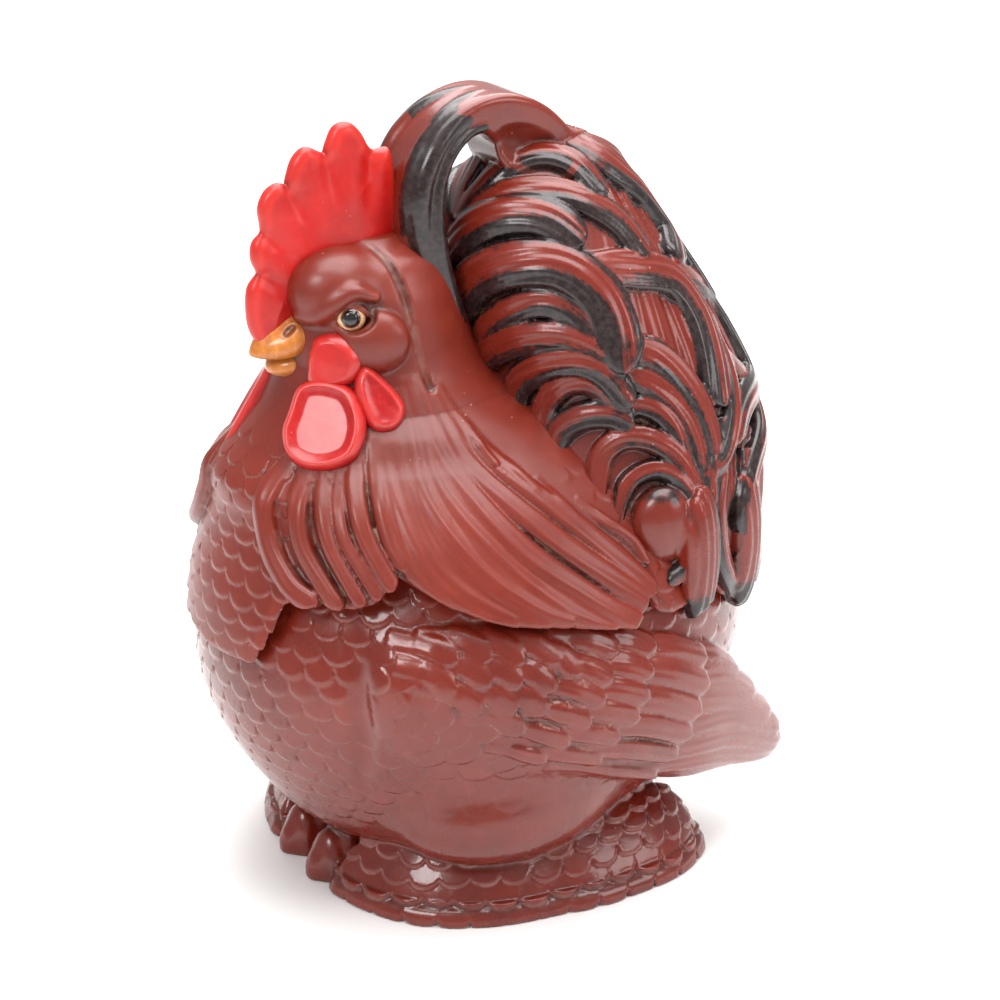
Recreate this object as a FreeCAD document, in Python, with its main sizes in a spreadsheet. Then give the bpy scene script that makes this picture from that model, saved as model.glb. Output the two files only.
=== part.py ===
import FreeCAD, Part
import math
import os
import sys
import Sketcher
from FreeCAD import Vector, Rotation, Placement

# Ceramic rooster cookie jar: a fired jar (belly, wings, feet) and a fired
# lift-off lid (cape, neck and head, comb, wattles, tail, carrying handle).
# Frame: +Z up, origin at the centre of the resting face, beak towards -Y,
# the bird's left side towards +X.  Millimetres.

doc = FreeCAD.newDocument("rooster_cookie_jar")

# ---------------------------------------------------------------- dimensions
DIMS = [
    ("JarHalfWidth", 100.0),
    ("JarHalfDepth", 119.0),
    ("JarCentreY", -2.5),
    ("WallThickness", 6.0),
    ("FloorHeight", 9.0),
    ("RimHeight", 162.0),
    ("SeatGap", 0.35),
    ("SkirtGap", 1.2),
    ("DomeHalfWidth", 103.5),
    ("DomeHalfDepth", 120.0),
    ("DomeCentreY", -4.0),
    ("FlangeClearance", 1.8),
    ("FlangeDepth", 13.0),
    ("FlangeWall", 5.0),
    ("NeckHalfWidth", 80.0),
    ("NeckHalfDepth", 88.0),
    ("TailHalfWidth", 83.0),
    ("TailHalfDepth", 88.0),
    ("HandleWidth", 31.0),
    ("CombThickness", 11.0),
    ("WingThickness", 5.0),
    ("FootTierHeight", 15.0),
    ("ToeRadius", 14.0),
    ("EyeRadius", 6.2),
    ("WattleThickness", 7.0),
    ("LobeThickness", 5.0),
]
sheet = doc.addObject("Spreadsheet::Sheet", "Dimensions")
for row, (alias, value) in enumerate(DIMS, start=1):
    sheet.set("A%d" % row, alias)
    sheet.set("B%d" % row, str(value))
    sheet.setAlias("B%d" % row, alias)
doc.recompute()
dim = dict(DIMS)


def bind(obj, prop, expression):
    obj.setExpression(prop, expression)


# ------------------------------------------------------------------- helpers
def ellipse_loft(name, stations, wide, deep, grow=None):
    """Loft through horizontal ellipses.

    stations: (height, centre y, half width, half depth); the half axes are
    held as shares of the two driving cells, plus an optional growth term.
    """
    sections = []
    for i, (z, cy, rx, ry) in enumerate(stations):
        e = doc.addObject("Part::Ellipse", "%s_section_%02d" % (name, i))
        major_deep = ry >= rx
        # the ellipse's major axis lies along Y when it is deeper than wide
        if major_deep:
            e.Placement = Placement(Vector(0, cy, z), Rotation(Vector(0, 0, 1), 90))
        else:
            e.Placement = Placement(Vector(0, cy, z), Rotation())
        extra = "" if grow is None else " + (%s)" % grow
        ex_w = "Dimensions.%s * %.5f%s" % (wide, rx / dim[wide], extra)
        ex_d = "Dimensions.%s * %.5f%s" % (deep, ry / dim[deep], extra)
        e.MajorRadius = 500
        e.MinorRadius = 1
        bind(e, "MajorRadius", ex_d if major_deep else ex_w)
        bind(e, "MinorRadius", ex_w if major_deep else ex_d)
        sections.append(e)
    doc.recompute()
    loft = doc.addObject("Part::Loft", name)
    loft.Sections = sections
    loft.Solid = True
    loft.Ruled = False
    loft.Closed = False
    doc.recompute()
    return loft


def cut(name, base, tool):
    o = doc.addObject("Part::Cut", name)
    o.Base = base
    o.Tool = tool
    doc.recompute()
    return o


def fuse(name, shapes):
    o = doc.addObject("Part::MultiFuse", name)
    o.Shapes = shapes
    doc.recompute()
    return o


def common(name, base, tool):
    o = doc.addObject("Part::Common", name)
    o.Base = base
    o.Tool = tool
    doc.recompute()
    return o


def mirror_x(name, source):
    o = doc.addObject("Part::Mirroring", name)
    o.Source = source
    o.Base = Vector(0, 0, 0)
    o.Normal = Vector(1, 0, 0)
    doc.recompute()
    return o


def ellipsoid(name, centre, radii, rotation=None, expressions=None):
    """Part::Ellipsoid: Radius1 along z, Radius2 along x, Radius3 along y."""
    o = doc.addObject("Part::Ellipsoid", name)
    o.Radius1 = radii[2]
    o.Radius2 = radii[0]
    o.Radius3 = radii[1]
    o.Angle1 = -90
    o.Angle2 = 90
    o.Angle3 = 360
    o.Placement = Placement(Vector(*centre), rotation or Rotation())
    for prop, ex in (expressions or {}).items():
        bind(o, prop, ex)
    doc.recompute()
    return o


def plane_of(body, role):
    for f in body.Origin.OriginFeatures:
        if f.Role == role:
            return f
    raise RuntimeError("no origin plane " + role)


def side_profile_body(name, points, alias, closed_spline=False):
    """A body padded symmetrically about the mid plane from a side outline.

    points are (y, z) pairs on the YZ plane.
    """
    body = doc.addObject("PartDesign::Body", name)
    sk = body.newObject("Sketcher::SketchObject", name + "_outline")
    sk.AttachmentSupport = (plane_of(body, "YZ_Plane"), [""])
    sk.MapMode = "FlatFace"
    doc.recompute()
    n = len(points)
    if closed_spline:
        bs = Part.BSplineCurve()
        bs.interpolate([Vector(y, z, 0) for y, z in points], PeriodicFlag=True)
        sk.addGeometry(bs, False)
    else:
        for i in range(n):
            a = points[i]
            b = points[(i + 1) % n]
            sk.addGeometry(Part.LineSegment(Vector(a[0], a[1], 0), Vector(b[0], b[1], 0)), False)
        for i in range(n):
            sk.addConstraint(Sketcher.Constraint("Coincident", i, 2, (i + 1) % n, 1))
    doc.recompute()
    pad = body.newObject("PartDesign::Pad", name + "_pad")
    pad.Profile = sk
    if hasattr(pad, "SideType"):
        try:
            pad.SideType = "Symmetric"
        except Exception:
            pad.Midplane = True
    else:
        pad.Midplane = True
    bind(pad, "Length", alias)
    doc.recompute()
    body.Tip = pad
    doc.recompute()
    return body


# ----------------------------------------------------------------------- jar
# Height and share of the driving half axes for the round belly.
JAR = [
    (0, 0.30), (5, 0.41), (13, 0.53), (28, 0.705), (43, 0.81), (60, 0.90),
    (80, 0.97), (100, 1.0), (116, 0.985), (130, 0.945), (142, 0.89),
    (152, 0.825), (162, 0.745),
]
W, D, CY = dim["JarHalfWidth"], dim["JarHalfDepth"], dim["JarCentreY"]
jar_outer = ellipse_loft(
    "JarOuter", [(z, CY, W * k, D * k) for z, k in JAR], "JarHalfWidth", "JarHalfDepth")
CAVITY = [(9, 0.40), (16, 0.52), (30, 0.70), (45, 0.815), (62, 0.90), (80, 0.965),
          (100, 1.0), (116, 0.985), (130, 0.945), (142, 0.89), (152, 0.825),
          (162, 0.745), (168, 0.70)]
jar_cavity = ellipse_loft(
    "JarCavity", [(z, CY, W * k, D * k) for z, k in CAVITY],
    "JarHalfWidth", "JarHalfDepth", "-Dimensions.WallThickness")
jar_body = cut("jar_body", jar_outer, jar_cavity)

# Wings: a thin layered shell hugging the belly, with a tip that stands free
# of the belly at the back.
def prism(name, points, axis, start, length, spline=True):
    """Extrusion of a closed outline; axis 'x' takes (y, z), 'z' takes (x, y)."""
    if axis == "x":
        pts = [Vector(start, a, b) for a, b in points]
        direction = Vector(1, 0, 0)
    else:
        pts = [Vector(a, b, start) for a, b in points]
        direction = Vector(0, 0, 1)
    f = doc.addObject("Part::Feature", name + "_outline")
    if spline:
        bs = Part.BSplineCurve()
        bs.interpolate(pts, PeriodicFlag=True)
        f.Shape = Part.Wire([bs.toShape()])
    else:
        f.Shape = Part.makePolygon(pts + [pts[0]])
    e = doc.addObject("Part::Extrusion", name)
    e.Base = f
    e.DirMode = "Custom"
    e.Dir = direction
    e.LengthFwd = length
    e.Solid = True
    doc.recompute()
    return e


WING_SIDE = [(-90, 120), (-86, 102), (-77, 89), (-60, 80), (-33, 71), (-5, 65),
             (30, 55), (66, 43), (90, 35), (101, 37), (104, 46), (99, 60),
             (90, 75), (76, 91), (57, 106), (36, 117), (10, 125), (-25, 130),
             (-60, 132), (-80, 130)]
wing_skin = ellipse_loft(
    "WingSkin", [(z, CY, W * k, D * k) for z, k in JAR[2:10]],
    "JarHalfWidth", "JarHalfDepth", "Dimensions.WingThickness")
wing_side = prism("WingSideCut", WING_SIDE, "x", 58, 80)
wing_near = common("WingNear", wing_skin, wing_side)
WING_TIP_PLAN = [(70, 22), (88, 24), (99, 32), (98, 50), (92, 68), (85, 84),
                 (78, 99), (72, 106), (66, 103), (66, 92), (68, 76), (70, 58), (68, 40)]
wing_tip_plan = prism("WingTipPlan", WING_TIP_PLAN, "z", 10, 130)
wing_tip = common("WingTip", wing_tip_plan, wing_side)
wing_whole = fuse("WingWhole", [wing_near, wing_tip])
left_wing = cut("left_wing", wing_whole, jar_outer)
right_wing = mirror_x("right_wing", left_wing)


# Feet: three scalloped tiers of toe scales under each flank.
def scalloped(points, bulge):
    """Closed chain of arcs through the points, each bulging outwards."""
    n = len(points)
    geo = []
    cx = sum(p[0] for p in points) / n
    cy = sum(p[1] for p in points) / n
    for i in range(n):
        ax, ay = points[i]
        bx, by = points[(i + 1) % n]
        mx, my = (ax + bx) / 2, (ay + by) / 2
        dx, dy = bx - ax, by - ay
        ln = math.hypot(dx, dy)
        nx, ny = dy / ln, -dx / ln
        if (mx - cx) * nx + (my - cy) * ny < 0:
            nx, ny = -nx, -ny
        k = bulge[i]
        if k <= 0:
            geo.append(Part.LineSegment(Vector(ax, ay, 0), Vector(bx, by, 0)))
        else:
            geo.append(Part.Arc(Vector(ax, ay, 0), Vector(mx + nx * k, my + ny * k, 0), Vector(bx, by, 0)))
    return geo


FOOT = [(24, -78), (35, -80), (49, -75), (64, -65), (76, -49), (83, -31), (86, -12),
        (89, 7), (88, 26), (86, 43), (79, 58), (68, 68), (52, 60), (34, 20), (24, -40)]
BULGE = [4.5, 4, 4, 4, 4, 4, 4, 4, 4, 4, 4, 0, 0, 0, 0]


def shrink(points, k):
    cx, cy = 50.0, -8.0
    return [(cx + (x - cx) * k, cy + (y - cy) * k) for x, y in points]


foot_body = doc.addObject("PartDesign::Body", "FootTiers")
last = None
for tier in range(4):
    sk = foot_body.newObject("Sketcher::SketchObject", "foot_tier_%d" % tier)
    sk.AttachmentSupport = (plane_of(foot_body, "XY_Plane"), [""])
    sk.MapMode = "FlatFace"
    bind(sk, "AttachmentOffset.Base.z", "Dimensions.FootTierHeight * %.3f" % (0.5 * tier))
    geo = scalloped(shrink(FOOT, 1.0 - 0.075 * tier), [b * (1 - 0.1 * tier) for b in BULGE])
    for g in geo:
        sk.addGeometry(g, False)
    doc.recompute()
    pad = foot_body.newObject("PartDesign::Pad", "foot_pad_%d" % tier)
    pad.Profile = sk
    pad.TaperAngle = 0
    bind(pad, "Length", "Dimensions.FootTierHeight * %.3f" % 0.75)
    doc.recompute()
    last = pad
foot_body.Tip = last
doc.recompute()
# each foot is hollow underneath and stands on its rim
under = foot_body.newObject("Sketcher::SketchObject", "foot_hollow_outline")
under.AttachmentSupport = (plane_of(foot_body, "XY_Plane"), [""])
under.MapMode = "FlatFace"
hollow = [(x, y) for x, y in shrink(FOOT, 0.80)]
for i in range(len(hollow)):
    a, b = hollow[i], hollow[(i + 1) % len(hollow)]
    under.addGeometry(Part.LineSegment(Vector(a[0], a[1], 0), Vector(b[0], b[1], 0)), False)
doc.recompute()
solid_volume = foot_body.Shape.Volume
scoop = foot_body.newObject("PartDesign::Pocket", "foot_hollow")
scoop.Profile = under
scoop.Reversed = True
bind(scoop, "Length", "Dimensions.FootTierHeight - 1")
doc.recompute()
foot_body.Tip = scoop
doc.recompute()
if foot_body.Shape.Volume > solid_volume - 1000:
    raise RuntimeError("the foot hollow cuts nothing")
left_foot = cut("left_foot", foot_body, jar_outer)
right_foot = mirror_x("right_foot", left_foot)

toe = ellipsoid("ToeLump", (12.5, -70, 0), (11.5, 19, 25), None,
                {"Radius1": "Dimensions.ToeRadius * 1.75", "Radius3": "Dimensions.ToeRadius * 1.32"})
toe_floor = doc.addObject("Part::Box", "ToeFloor")
toe_floor.Length, toe_floor.Width, toe_floor.Height = 80, 80, 60
toe_floor.Placement = Placement(Vector(-30, -110, -60), Rotation())
doc.recompute()
toe_flat = cut("ToeFlat", toe, toe_floor)
toe_clear = cut("ToeClearOfFoot", toe_flat, left_foot)
left_toe = cut("left_toe", toe_clear, jar_outer)
right_toe = mirror_x("right_toe", left_toe)

# ----------------------------------------------------------------------- lid
DOME = [
    (98, -3, 103, 121), (112, -3, 103.5, 121.5), (128, -3.5, 101.5, 119.5),
    (142, -5, 97, 114.5), (156, -7, 89.5, 106.5), (168, -9, 81, 98),
    (180, -12, 70, 87), (190, -14, 58, 75), (200, -16, 44, 61), (208, -18, 25, 40),
]
dome_outer = ellipse_loft("DomeOuter", DOME, "DomeHalfWidth", "DomeHalfDepth")
skirt_space = ellipse_loft(
    "SkirtSpace",
    [(z, CY, W * k, D * k) for z, k in
     [(90, 1.003), (100, 1.003), (116, 0.99), (130, 0.95), (142, 0.895), (152, 0.83), (162.35, 0.748)]],
    "JarHalfWidth", "JarHalfDepth", "Dimensions.SkirtGap")
k_rim = 0.745
fl_x = W * k_rim - dim["WallThickness"]
fl_y = D * k_rim - dim["WallThickness"]
# Above the seat the lid is hollow: a straight mouth through the seat ring, then
# the dome follows the outside at the wall thickness.
mouth_space = ellipse_loft(
    "MouthSpace", [(150, CY, fl_x, fl_y), (160, CY, fl_x, fl_y), (170, CY, fl_x, fl_y)],
    "JarHalfWidth", "JarHalfDepth",
    "-Dimensions.FlangeClearance - Dimensions.FlangeWall")
dome_hollow = ellipse_loft(
    "DomeHollow",
    [(169, -9, 80, 97), (176, -11, 73, 90), (184, -13, 64.5, 82), (192, -15, 54, 71), (200, -17, 40, 57)],
    "DomeHalfWidth", "DomeHalfDepth", "-Dimensions.WallThickness")
dome_space = fuse("DomeSpace", [mouth_space, dome_hollow])
# The hem of the cape: its height along the length of the bird.
HEM = [(-135, 112), (-124, 112.5), (-119, 114), (-115, 126), (-109, 141), (-104, 145),
       (-98, 144.5), (-90, 144), (-83, 147), (-78, 154), (-75, 157), (-71, 154), (-61, 147),
       (-50, 142), (-38, 138), (-24, 136), (-10, 133), (4, 130), (12, 128.5), (17, 133),
       (21, 138), (26, 130), (34, 127), (44, 128), (54, 134), (59, 133), (66, 123),
       (74, 118.5), (82, 122), (88, 124), (94, 117), (102, 112.5), (110, 113), (118, 115),
       (135, 113)]
hem_space = prism("HemSpace", HEM + [(135, 60), (-135, 60)], "x", -130, 260, spline=False)
cape_a = cut("CapeOverSkirt", dome_outer, skirt_space)
cape_b = cut("CapeHollow", cape_a, dome_space)
cape_c = cut("CapeHemmed", cape_b, hem_space)

# Locating flange that drops inside the jar's mouth.
flange_body = doc.addObject("PartDesign::Body", "lid_flange")
fsk = flange_body.newObject("Sketcher::SketchObject", "flange_outline")
fsk.AttachmentSupport = (plane_of(flange_body, "XY_Plane"), [""])
fsk.MapMode = "FlatFace"
bind(fsk, "AttachmentOffset.Base.z",
     "Dimensions.RimHeight + Dimensions.SeatGap - Dimensions.FlangeDepth")
ox, oy = fl_x - dim["FlangeClearance"], fl_y - dim["FlangeClearance"]
ix, iy = ox - dim["FlangeWall"], oy - dim["FlangeWall"]
for rx, ry in ((ox, oy), (ix, iy)):
    fsk.addGeometry(Part.Ellipse(Vector(0, CY + ry, 0), Vector(rx, CY, 0), Vector(0, CY, 0)), False)
doc.recompute()
fpad = flange_body.newObject("PartDesign::Pad", "flange_pad")
fpad.Profile = fsk
bind(fpad, "Length", "Dimensions.FlangeDepth")
doc.recompute()
flange_body.Tip = fpad
doc.recompute()
lid_flange = flange_body

NECK = [
    (152, -24, 78, 84), (165, -31, 70, 79), (180, -38, 58, 76), (195, -42, 48, 62),
    (210, -44, 38, 50), (225, -46, 32.5, 42), (240, -48, 30, 38), (255, -48, 26, 32),
    (265, -47, 19, 24), (271, -46, 9, 12),
]
neck_outer = ellipse_loft("NeckOuter", NECK, "NeckHalfWidth", "NeckHalfDepth")
neck_space = ellipse_loft(
    "NeckSpace",
    [(214, -45, 35, 46), (232, -47, 29, 38), (248, -48, 26, 33), (258, -47, 20, 24)],
    "NeckHalfWidth", "NeckHalfDepth", "-Dimensions.WallThickness")
neck_a = cut("NeckOverDome", neck_outer, dome_outer)
neck_b = cut("NeckHollow", neck_a, neck_space)
# The casting is one skin: round passages join the cape to the hollow neck and tail.
neck_passage = doc.addObject("Part::Cylinder", "NeckPassage")
neck_passage.Radius = 20
neck_passage.Height = 32
neck_passage.Placement = Placement(Vector(0, -46, 190), Rotation())
tail_passage = doc.addObject("Part::Cylinder", "TailPassage")
tail_passage.Radius = 24
tail_passage.Height = 60
tail_passage.Placement = Placement(Vector(0, 34, 180), Rotation())
bind(neck_passage, "Radius", "Dimensions.WallThickness * 3.3")
bind(tail_passage, "Radius", "Dimensions.WallThickness * 4")
doc.recompute()
neck_c = cut("NeckOpen", neck_b, neck_passage)
cape_d = cut("CapeOpenToNeck", cape_c, neck_passage)
lid_cape = cut("lid_cape", cape_d, tail_passage)

TAIL = [
    (114, 36, 83, 88), (130, 39, 88, 85), (165, 50, 86, 74), (200, 53, 76, 61.5),
    (236, 42, 64, 54), (265, 33, 47, 44), (285, 31.5, 31, 33), (296, 34, 19, 23),
    (302, 36, 9, 13),
]
tail_outer = ellipse_loft("TailOuter", TAIL, "TailHalfWidth", "TailHalfDepth")
tail_space = ellipse_loft(
    "TailSpace",
    [(146, 45, 86, 78), (165, 50, 86, 74), (200, 53, 76, 61.5), (236, 42, 64, 54),
     (256, 36, 50, 45), (272, 33, 37, 36)],
    "TailHalfWidth", "TailHalfDepth", "-Dimensions.WallThickness")
tail_shell = cut("TailShell", tail_outer, tail_space)
tail = cut("tail", tail_shell, dome_outer)
head_and_neck = cut("head_and_neck", neck_c, tail_outer)


def clash(a, b):
    return a.Shape.common(b.Shape).Volume


print("tail volume", round(tail.Shape.Volume), "common", clash(tail, head_and_neck),
      clash(tail, lid_cape))
if clash(tail, head_and_neck) > 1.0 or clash(tail, lid_cape) > 1.0:
    raise RuntimeError("the tail runs into the neck or the cape")
HANDLE = [(-38, 252), (-39, 275), (-37.5, 290), (-33, 301.5), (-26, 310.5), (-17, 317),
          (-7, 321), (3, 322), (13, 320), (23, 315), (32, 307.5), (40, 299), (47, 289),
          (50, 278), (30, 283), (16, 288), (7, 292), (3.5, 297), (2, 303), (-2, 307.5),
          (-7, 309.5), (-13, 308), (-20, 301), (-24.5, 292), (-26, 280), (-25, 262),
          (-20, 252)]
handle_body = side_profile_body("HandleStrap", HANDLE, "Dimensions.HandleWidth")
handle_a = cut("HandleOverTail", handle_body, tail_outer)
handle = cut("handle", handle_a, neck_outer)

COMB = [(-38.5, 262), (-40.5, 301), (-47, 303), (-52, 308.5), (-58, 314.5), (-63, 313.5),
        (-67, 306), (-71, 305.5), (-76.5, 306.5), (-81, 302.5), (-83, 295), (-87, 294.5),
        (-92, 291.5), (-94.5, 286.5), (-93, 281.5), (-96, 278), (-97.5, 270), (-95, 264),
        (-98.5, 260), (-100.5, 252), (-100, 242), (-97.5, 235), (-93, 230.5), (-88, 231),
        (-78, 240), (-60, 250)]
comb_body = side_profile_body("CombBlade", COMB, "Dimensions.CombThickness")
comb_a = cut("CombOverHandle", comb_body, handle_body)
comb = cut("comb", comb_a, neck_outer)

upper = ellipsoid("UpperBeakForm", (0, -82, 236), (10.5, 17.5, 8), Rotation(Vector(1, 0, 0), 20))
upper_a = cut("UpperBeakOverHead", upper, neck_outer)
upper_beak = cut("upper_beak", upper_a, comb)
lower = ellipsoid("LowerBeakForm", (0, -80, 226.5), (8, 12.5, 5), Rotation(Vector(1, 0, 0), 12))
lower_a = cut("LowerBeakOverHead", lower, neck_outer)
lower_beak = cut("lower_beak", lower_a, upper)

eye = ellipsoid("EyeBall", (20.5, -68.5, 244.5), (6.2, 6.2, 6.2), None,
                {"Radius1": "Dimensions.EyeRadius", "Radius2": "Dimensions.EyeRadius",
                 "Radius3": "Dimensions.EyeRadius"})
left_eye = cut("left_eye", eye, neck_outer)
right_eye = mirror_x("right_eye", left_eye)

cheek = ellipsoid("CheekPatch", (21.5, -74, 227), (5, 11, 9.5), Rotation(Vector(0, 0, 1), -38),
                  {"Radius2": "Dimensions.LobeThickness"})
cheek_a = cut("CheekOverHead", cheek, neck_outer)
left_cheek = cut("left_cheek", cheek_a, eye)
right_cheek = mirror_x("right_cheek", left_cheek)

wattle = ellipsoid("WattleForm", (26, -88, 201), (7, 16, 19.5), Rotation(Vector(0, 0, 1), -42),
                   {"Radius2": "Dimensions.WattleThickness"})
wattle_a = cut("WattleOverNeck", wattle, neck_outer)
wattle_b = cut("WattleOverCheek", wattle_a, cheek)
left_wattle = cut("left_wattle", wattle_b, lower)
# modelled by hand, the right one hangs a little lower and wider
wattle_r = ellipsoid("WattleFormRight", (-27, -94, 192), (7, 13, 21),
                     Rotation(Vector(0, 0, 1), 42).multiply(Rotation(Vector(0, 1, 0), 18)),
                     {"Radius2": "Dimensions.WattleThickness"})
wattle_ra = cut("WattleRightOverNeck", wattle_r, neck_outer)
cheek_mirror = mirror_x("CheekMirror", cheek)
wattle_rb = cut("WattleRightOverCheek", wattle_ra, cheek_mirror)
right_wattle = cut("right_wattle", wattle_rb, dome_outer)

lobe = ellipsoid("EarLobeForm", (37.5, -65, 215), (5, 10.5, 12.5), Rotation(Vector(0, 0, 1), -32),
                 {"Radius2": "Dimensions.LobeThickness"})
lobe_a = cut("LobeOverNeck", lobe, neck_outer)
lobe_b = cut("LobeOverWattle", lobe_a, wattle)
left_earlobe = cut("left_earlobe", lobe_b, cheek)
right_earlobe = mirror_x("right_earlobe", left_earlobe)

NODES = {
    "jar_body": jar_body, "left_wing": left_wing, "right_wing": right_wing,
    "left_foot": left_foot, "right_foot": right_foot,
    "left_toe": left_toe, "right_toe": right_toe,
    "lid_cape": lid_cape, "lid_flange": lid_flange, "head_and_neck": head_and_neck,
    "tail": tail,
    "handle": handle, "comb": comb,
    "upper_beak": upper_beak, "lower_beak": lower_beak,
    "left_cheek": left_cheek, "right_cheek": right_cheek,
    "left_wattle": left_wattle, "right_wattle": right_wattle,
    "left_earlobe": left_earlobe, "right_earlobe": right_earlobe,
    "left_eye": left_eye, "right_eye": right_eye,
}

doc.recompute()
bad = [o.Name for o in doc.Objects if "Invalid" in o.State or "Error" in o.State]
if bad:
    raise RuntimeError("failed objects: " + ", ".join(bad))
for label, obj in NODES.items():
    obj.Label = label
    s = obj.Shape
    if s.isNull() or not s.isValid() or s.Volume <= 0 or not s.Solids:
        raise RuntimeError("bad shape: " + label)

os.makedirs("parts", exist_ok=True)
for label, obj in NODES.items():
    s = obj.Shape
    b = s.optimalBoundingBox(False, False)
    print("%-14s solids %d  vol %9.0f  x %.1f..%.1f  y %.1f..%.1f  z %.1f..%.1f" % (
        label, len(s.Solids), s.Volume, b.XMin, b.XMax, b.YMin, b.YMax, b.ZMin, b.ZMax))
    s.exportStep("parts/%s.step" % label)
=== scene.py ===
import math
import bpy
import numpy as np
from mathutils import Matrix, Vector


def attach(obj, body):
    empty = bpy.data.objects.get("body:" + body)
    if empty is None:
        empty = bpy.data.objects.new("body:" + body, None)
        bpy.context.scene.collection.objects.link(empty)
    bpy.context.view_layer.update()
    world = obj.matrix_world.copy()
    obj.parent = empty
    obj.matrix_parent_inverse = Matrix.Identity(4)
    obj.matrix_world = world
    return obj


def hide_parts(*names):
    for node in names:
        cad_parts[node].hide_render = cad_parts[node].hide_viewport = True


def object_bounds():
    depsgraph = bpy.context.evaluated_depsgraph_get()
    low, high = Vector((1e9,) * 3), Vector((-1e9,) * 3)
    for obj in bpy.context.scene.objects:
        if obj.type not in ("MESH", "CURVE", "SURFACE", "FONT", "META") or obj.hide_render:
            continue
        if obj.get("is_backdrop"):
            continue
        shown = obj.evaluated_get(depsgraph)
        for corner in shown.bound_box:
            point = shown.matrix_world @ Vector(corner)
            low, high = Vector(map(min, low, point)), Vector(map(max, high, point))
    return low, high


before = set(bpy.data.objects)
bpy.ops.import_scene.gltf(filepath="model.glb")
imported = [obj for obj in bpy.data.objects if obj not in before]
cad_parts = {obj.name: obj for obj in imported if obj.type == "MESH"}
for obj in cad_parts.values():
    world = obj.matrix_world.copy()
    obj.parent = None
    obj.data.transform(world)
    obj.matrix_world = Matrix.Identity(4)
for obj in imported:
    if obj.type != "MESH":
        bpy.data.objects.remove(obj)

import openvdb
from mathutils import Vector

size_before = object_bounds()
VOX = 0.95
FINE = 0.6
MM = 0.001

# ------------------------------------------------------------------ helpers
def smin(a, b, k):
    h = np.clip(0.5 + 0.5 * (b - a) / k, 0, 1)
    return b * (1 - h) + a * h - k * h * (1 - h)

def smax(a, b, k):
    return -smin(-a, -b, k)

def sstep(a, b, x):
    t = np.clip((x - a) / (b - a), 0, 1)
    return t * t * (3 - 2 * t)

def table(st, axis_step=0.5):
    st = np.array(st, float)
    z = st[:, 0]
    zz = np.arange(z[0], z[-1] + 0.25, axis_step)
    out = []
    for c in range(1, st.shape[1]):
        v = st[:, c]
        m = np.gradient(v, z)
        i = np.clip(np.searchsorted(z, zz) - 1, 0, len(z) - 2)
        hh = z[i + 1] - z[i]
        t = (zz - z[i]) / hh
        out.append((2*t**3-3*t**2+1)*v[i] + (t**3-2*t**2+t)*hh*m[i] + (-2*t**3+3*t**2)*v[i+1] + (t**3-t**2)*hh*m[i+1])
    return zz, out

class Stack:
    """Horizontal ellipses (height, centre y, half width, half depth) as a distance field."""
    def __init__(s, st):
        s.zz, (s.cy, s.rx, s.ry) = table(st)
        s.z0, s.z1 = st[0][0], st[-1][0]
        s.slope = np.gradient(np.sqrt(np.maximum(s.rx * s.ry, 1e-6)), s.zz)
    def __call__(s, P):
        x, y, z = P[:, 0], P[:, 1], P[:, 2]
        zc = np.clip(z, s.z0, s.z1)
        cy, rx, ry, sl = (np.interp(zc, s.zz, a) for a in (s.cy, s.rx, s.ry, s.slope))
        q = np.sqrt((x/rx)**2 + ((y-cy)/ry)**2) + 1e-9
        g = np.sqrt((x/rx**2)**2 + ((y-cy)/ry**2)**2) / q + 1e-9
        dr = (q - 1) / g / np.sqrt(1 + sl**2)
        dz = np.maximum(s.z0 - z, z - s.z1)
        return np.where(dz > 0, np.sqrt(np.maximum(dr, 0)**2 + dz**2), np.maximum(dr, dz))

class StackY:
    """Upright ellipses along y (y, centre x, centre z, half width, half height)."""
    def __init__(s, st):
        s.yy, (s.xc, s.zc, s.rx, s.rz) = table(st)
        s.y0, s.y1 = st[0][0], st[-1][0]
    def __call__(s, P):
        x, y, z = P[:, 0], P[:, 1], P[:, 2]
        yc = np.clip(y, s.y0, s.y1)
        xc, zc, rx, rz = (np.interp(yc, s.yy, a) for a in (s.xc, s.zc, s.rx, s.rz))
        q = np.sqrt(((x-xc)/rx)**2 + ((z-zc)/rz)**2) + 1e-9
        g = np.sqrt(((x-xc)/rx**2)**2 + ((z-zc)/rz**2)**2) / q + 1e-9
        dr = (q - 1) / g
        dy = np.maximum(s.y0 - y, y - s.y1)
        return np.where(dy > 0, np.sqrt(np.maximum(dr, 0)**2 + dy**2), np.maximum(dr, dy))

def rot(ax=0, ay=0, az=0):
    ax, ay, az = (math.radians(a) for a in (ax, ay, az))
    cx, sx, cy, sy, cz, sz = math.cos(ax), math.sin(ax), math.cos(ay), math.sin(ay), math.cos(az), math.sin(az)
    X = np.array([[1,0,0],[0,cx,-sx],[0,sx,cx]]); Y = np.array([[cy,0,sy],[0,1,0],[-sy,0,cy]]); Z = np.array([[cz,-sz,0],[sz,cz,0],[0,0,1]])
    return Z @ Y @ X

def ell(P, c, r, R=None):
    q = P - np.array(c, float)
    if R is not None:
        q = q @ R
    r = np.array(r, float)
    k0 = np.sqrt(((q / r)**2).sum(1)) + 1e-9
    k1 = np.sqrt(((q / r**2)**2).sum(1)) + 1e-9
    return k0 * (k0 - 1) / k1

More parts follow.
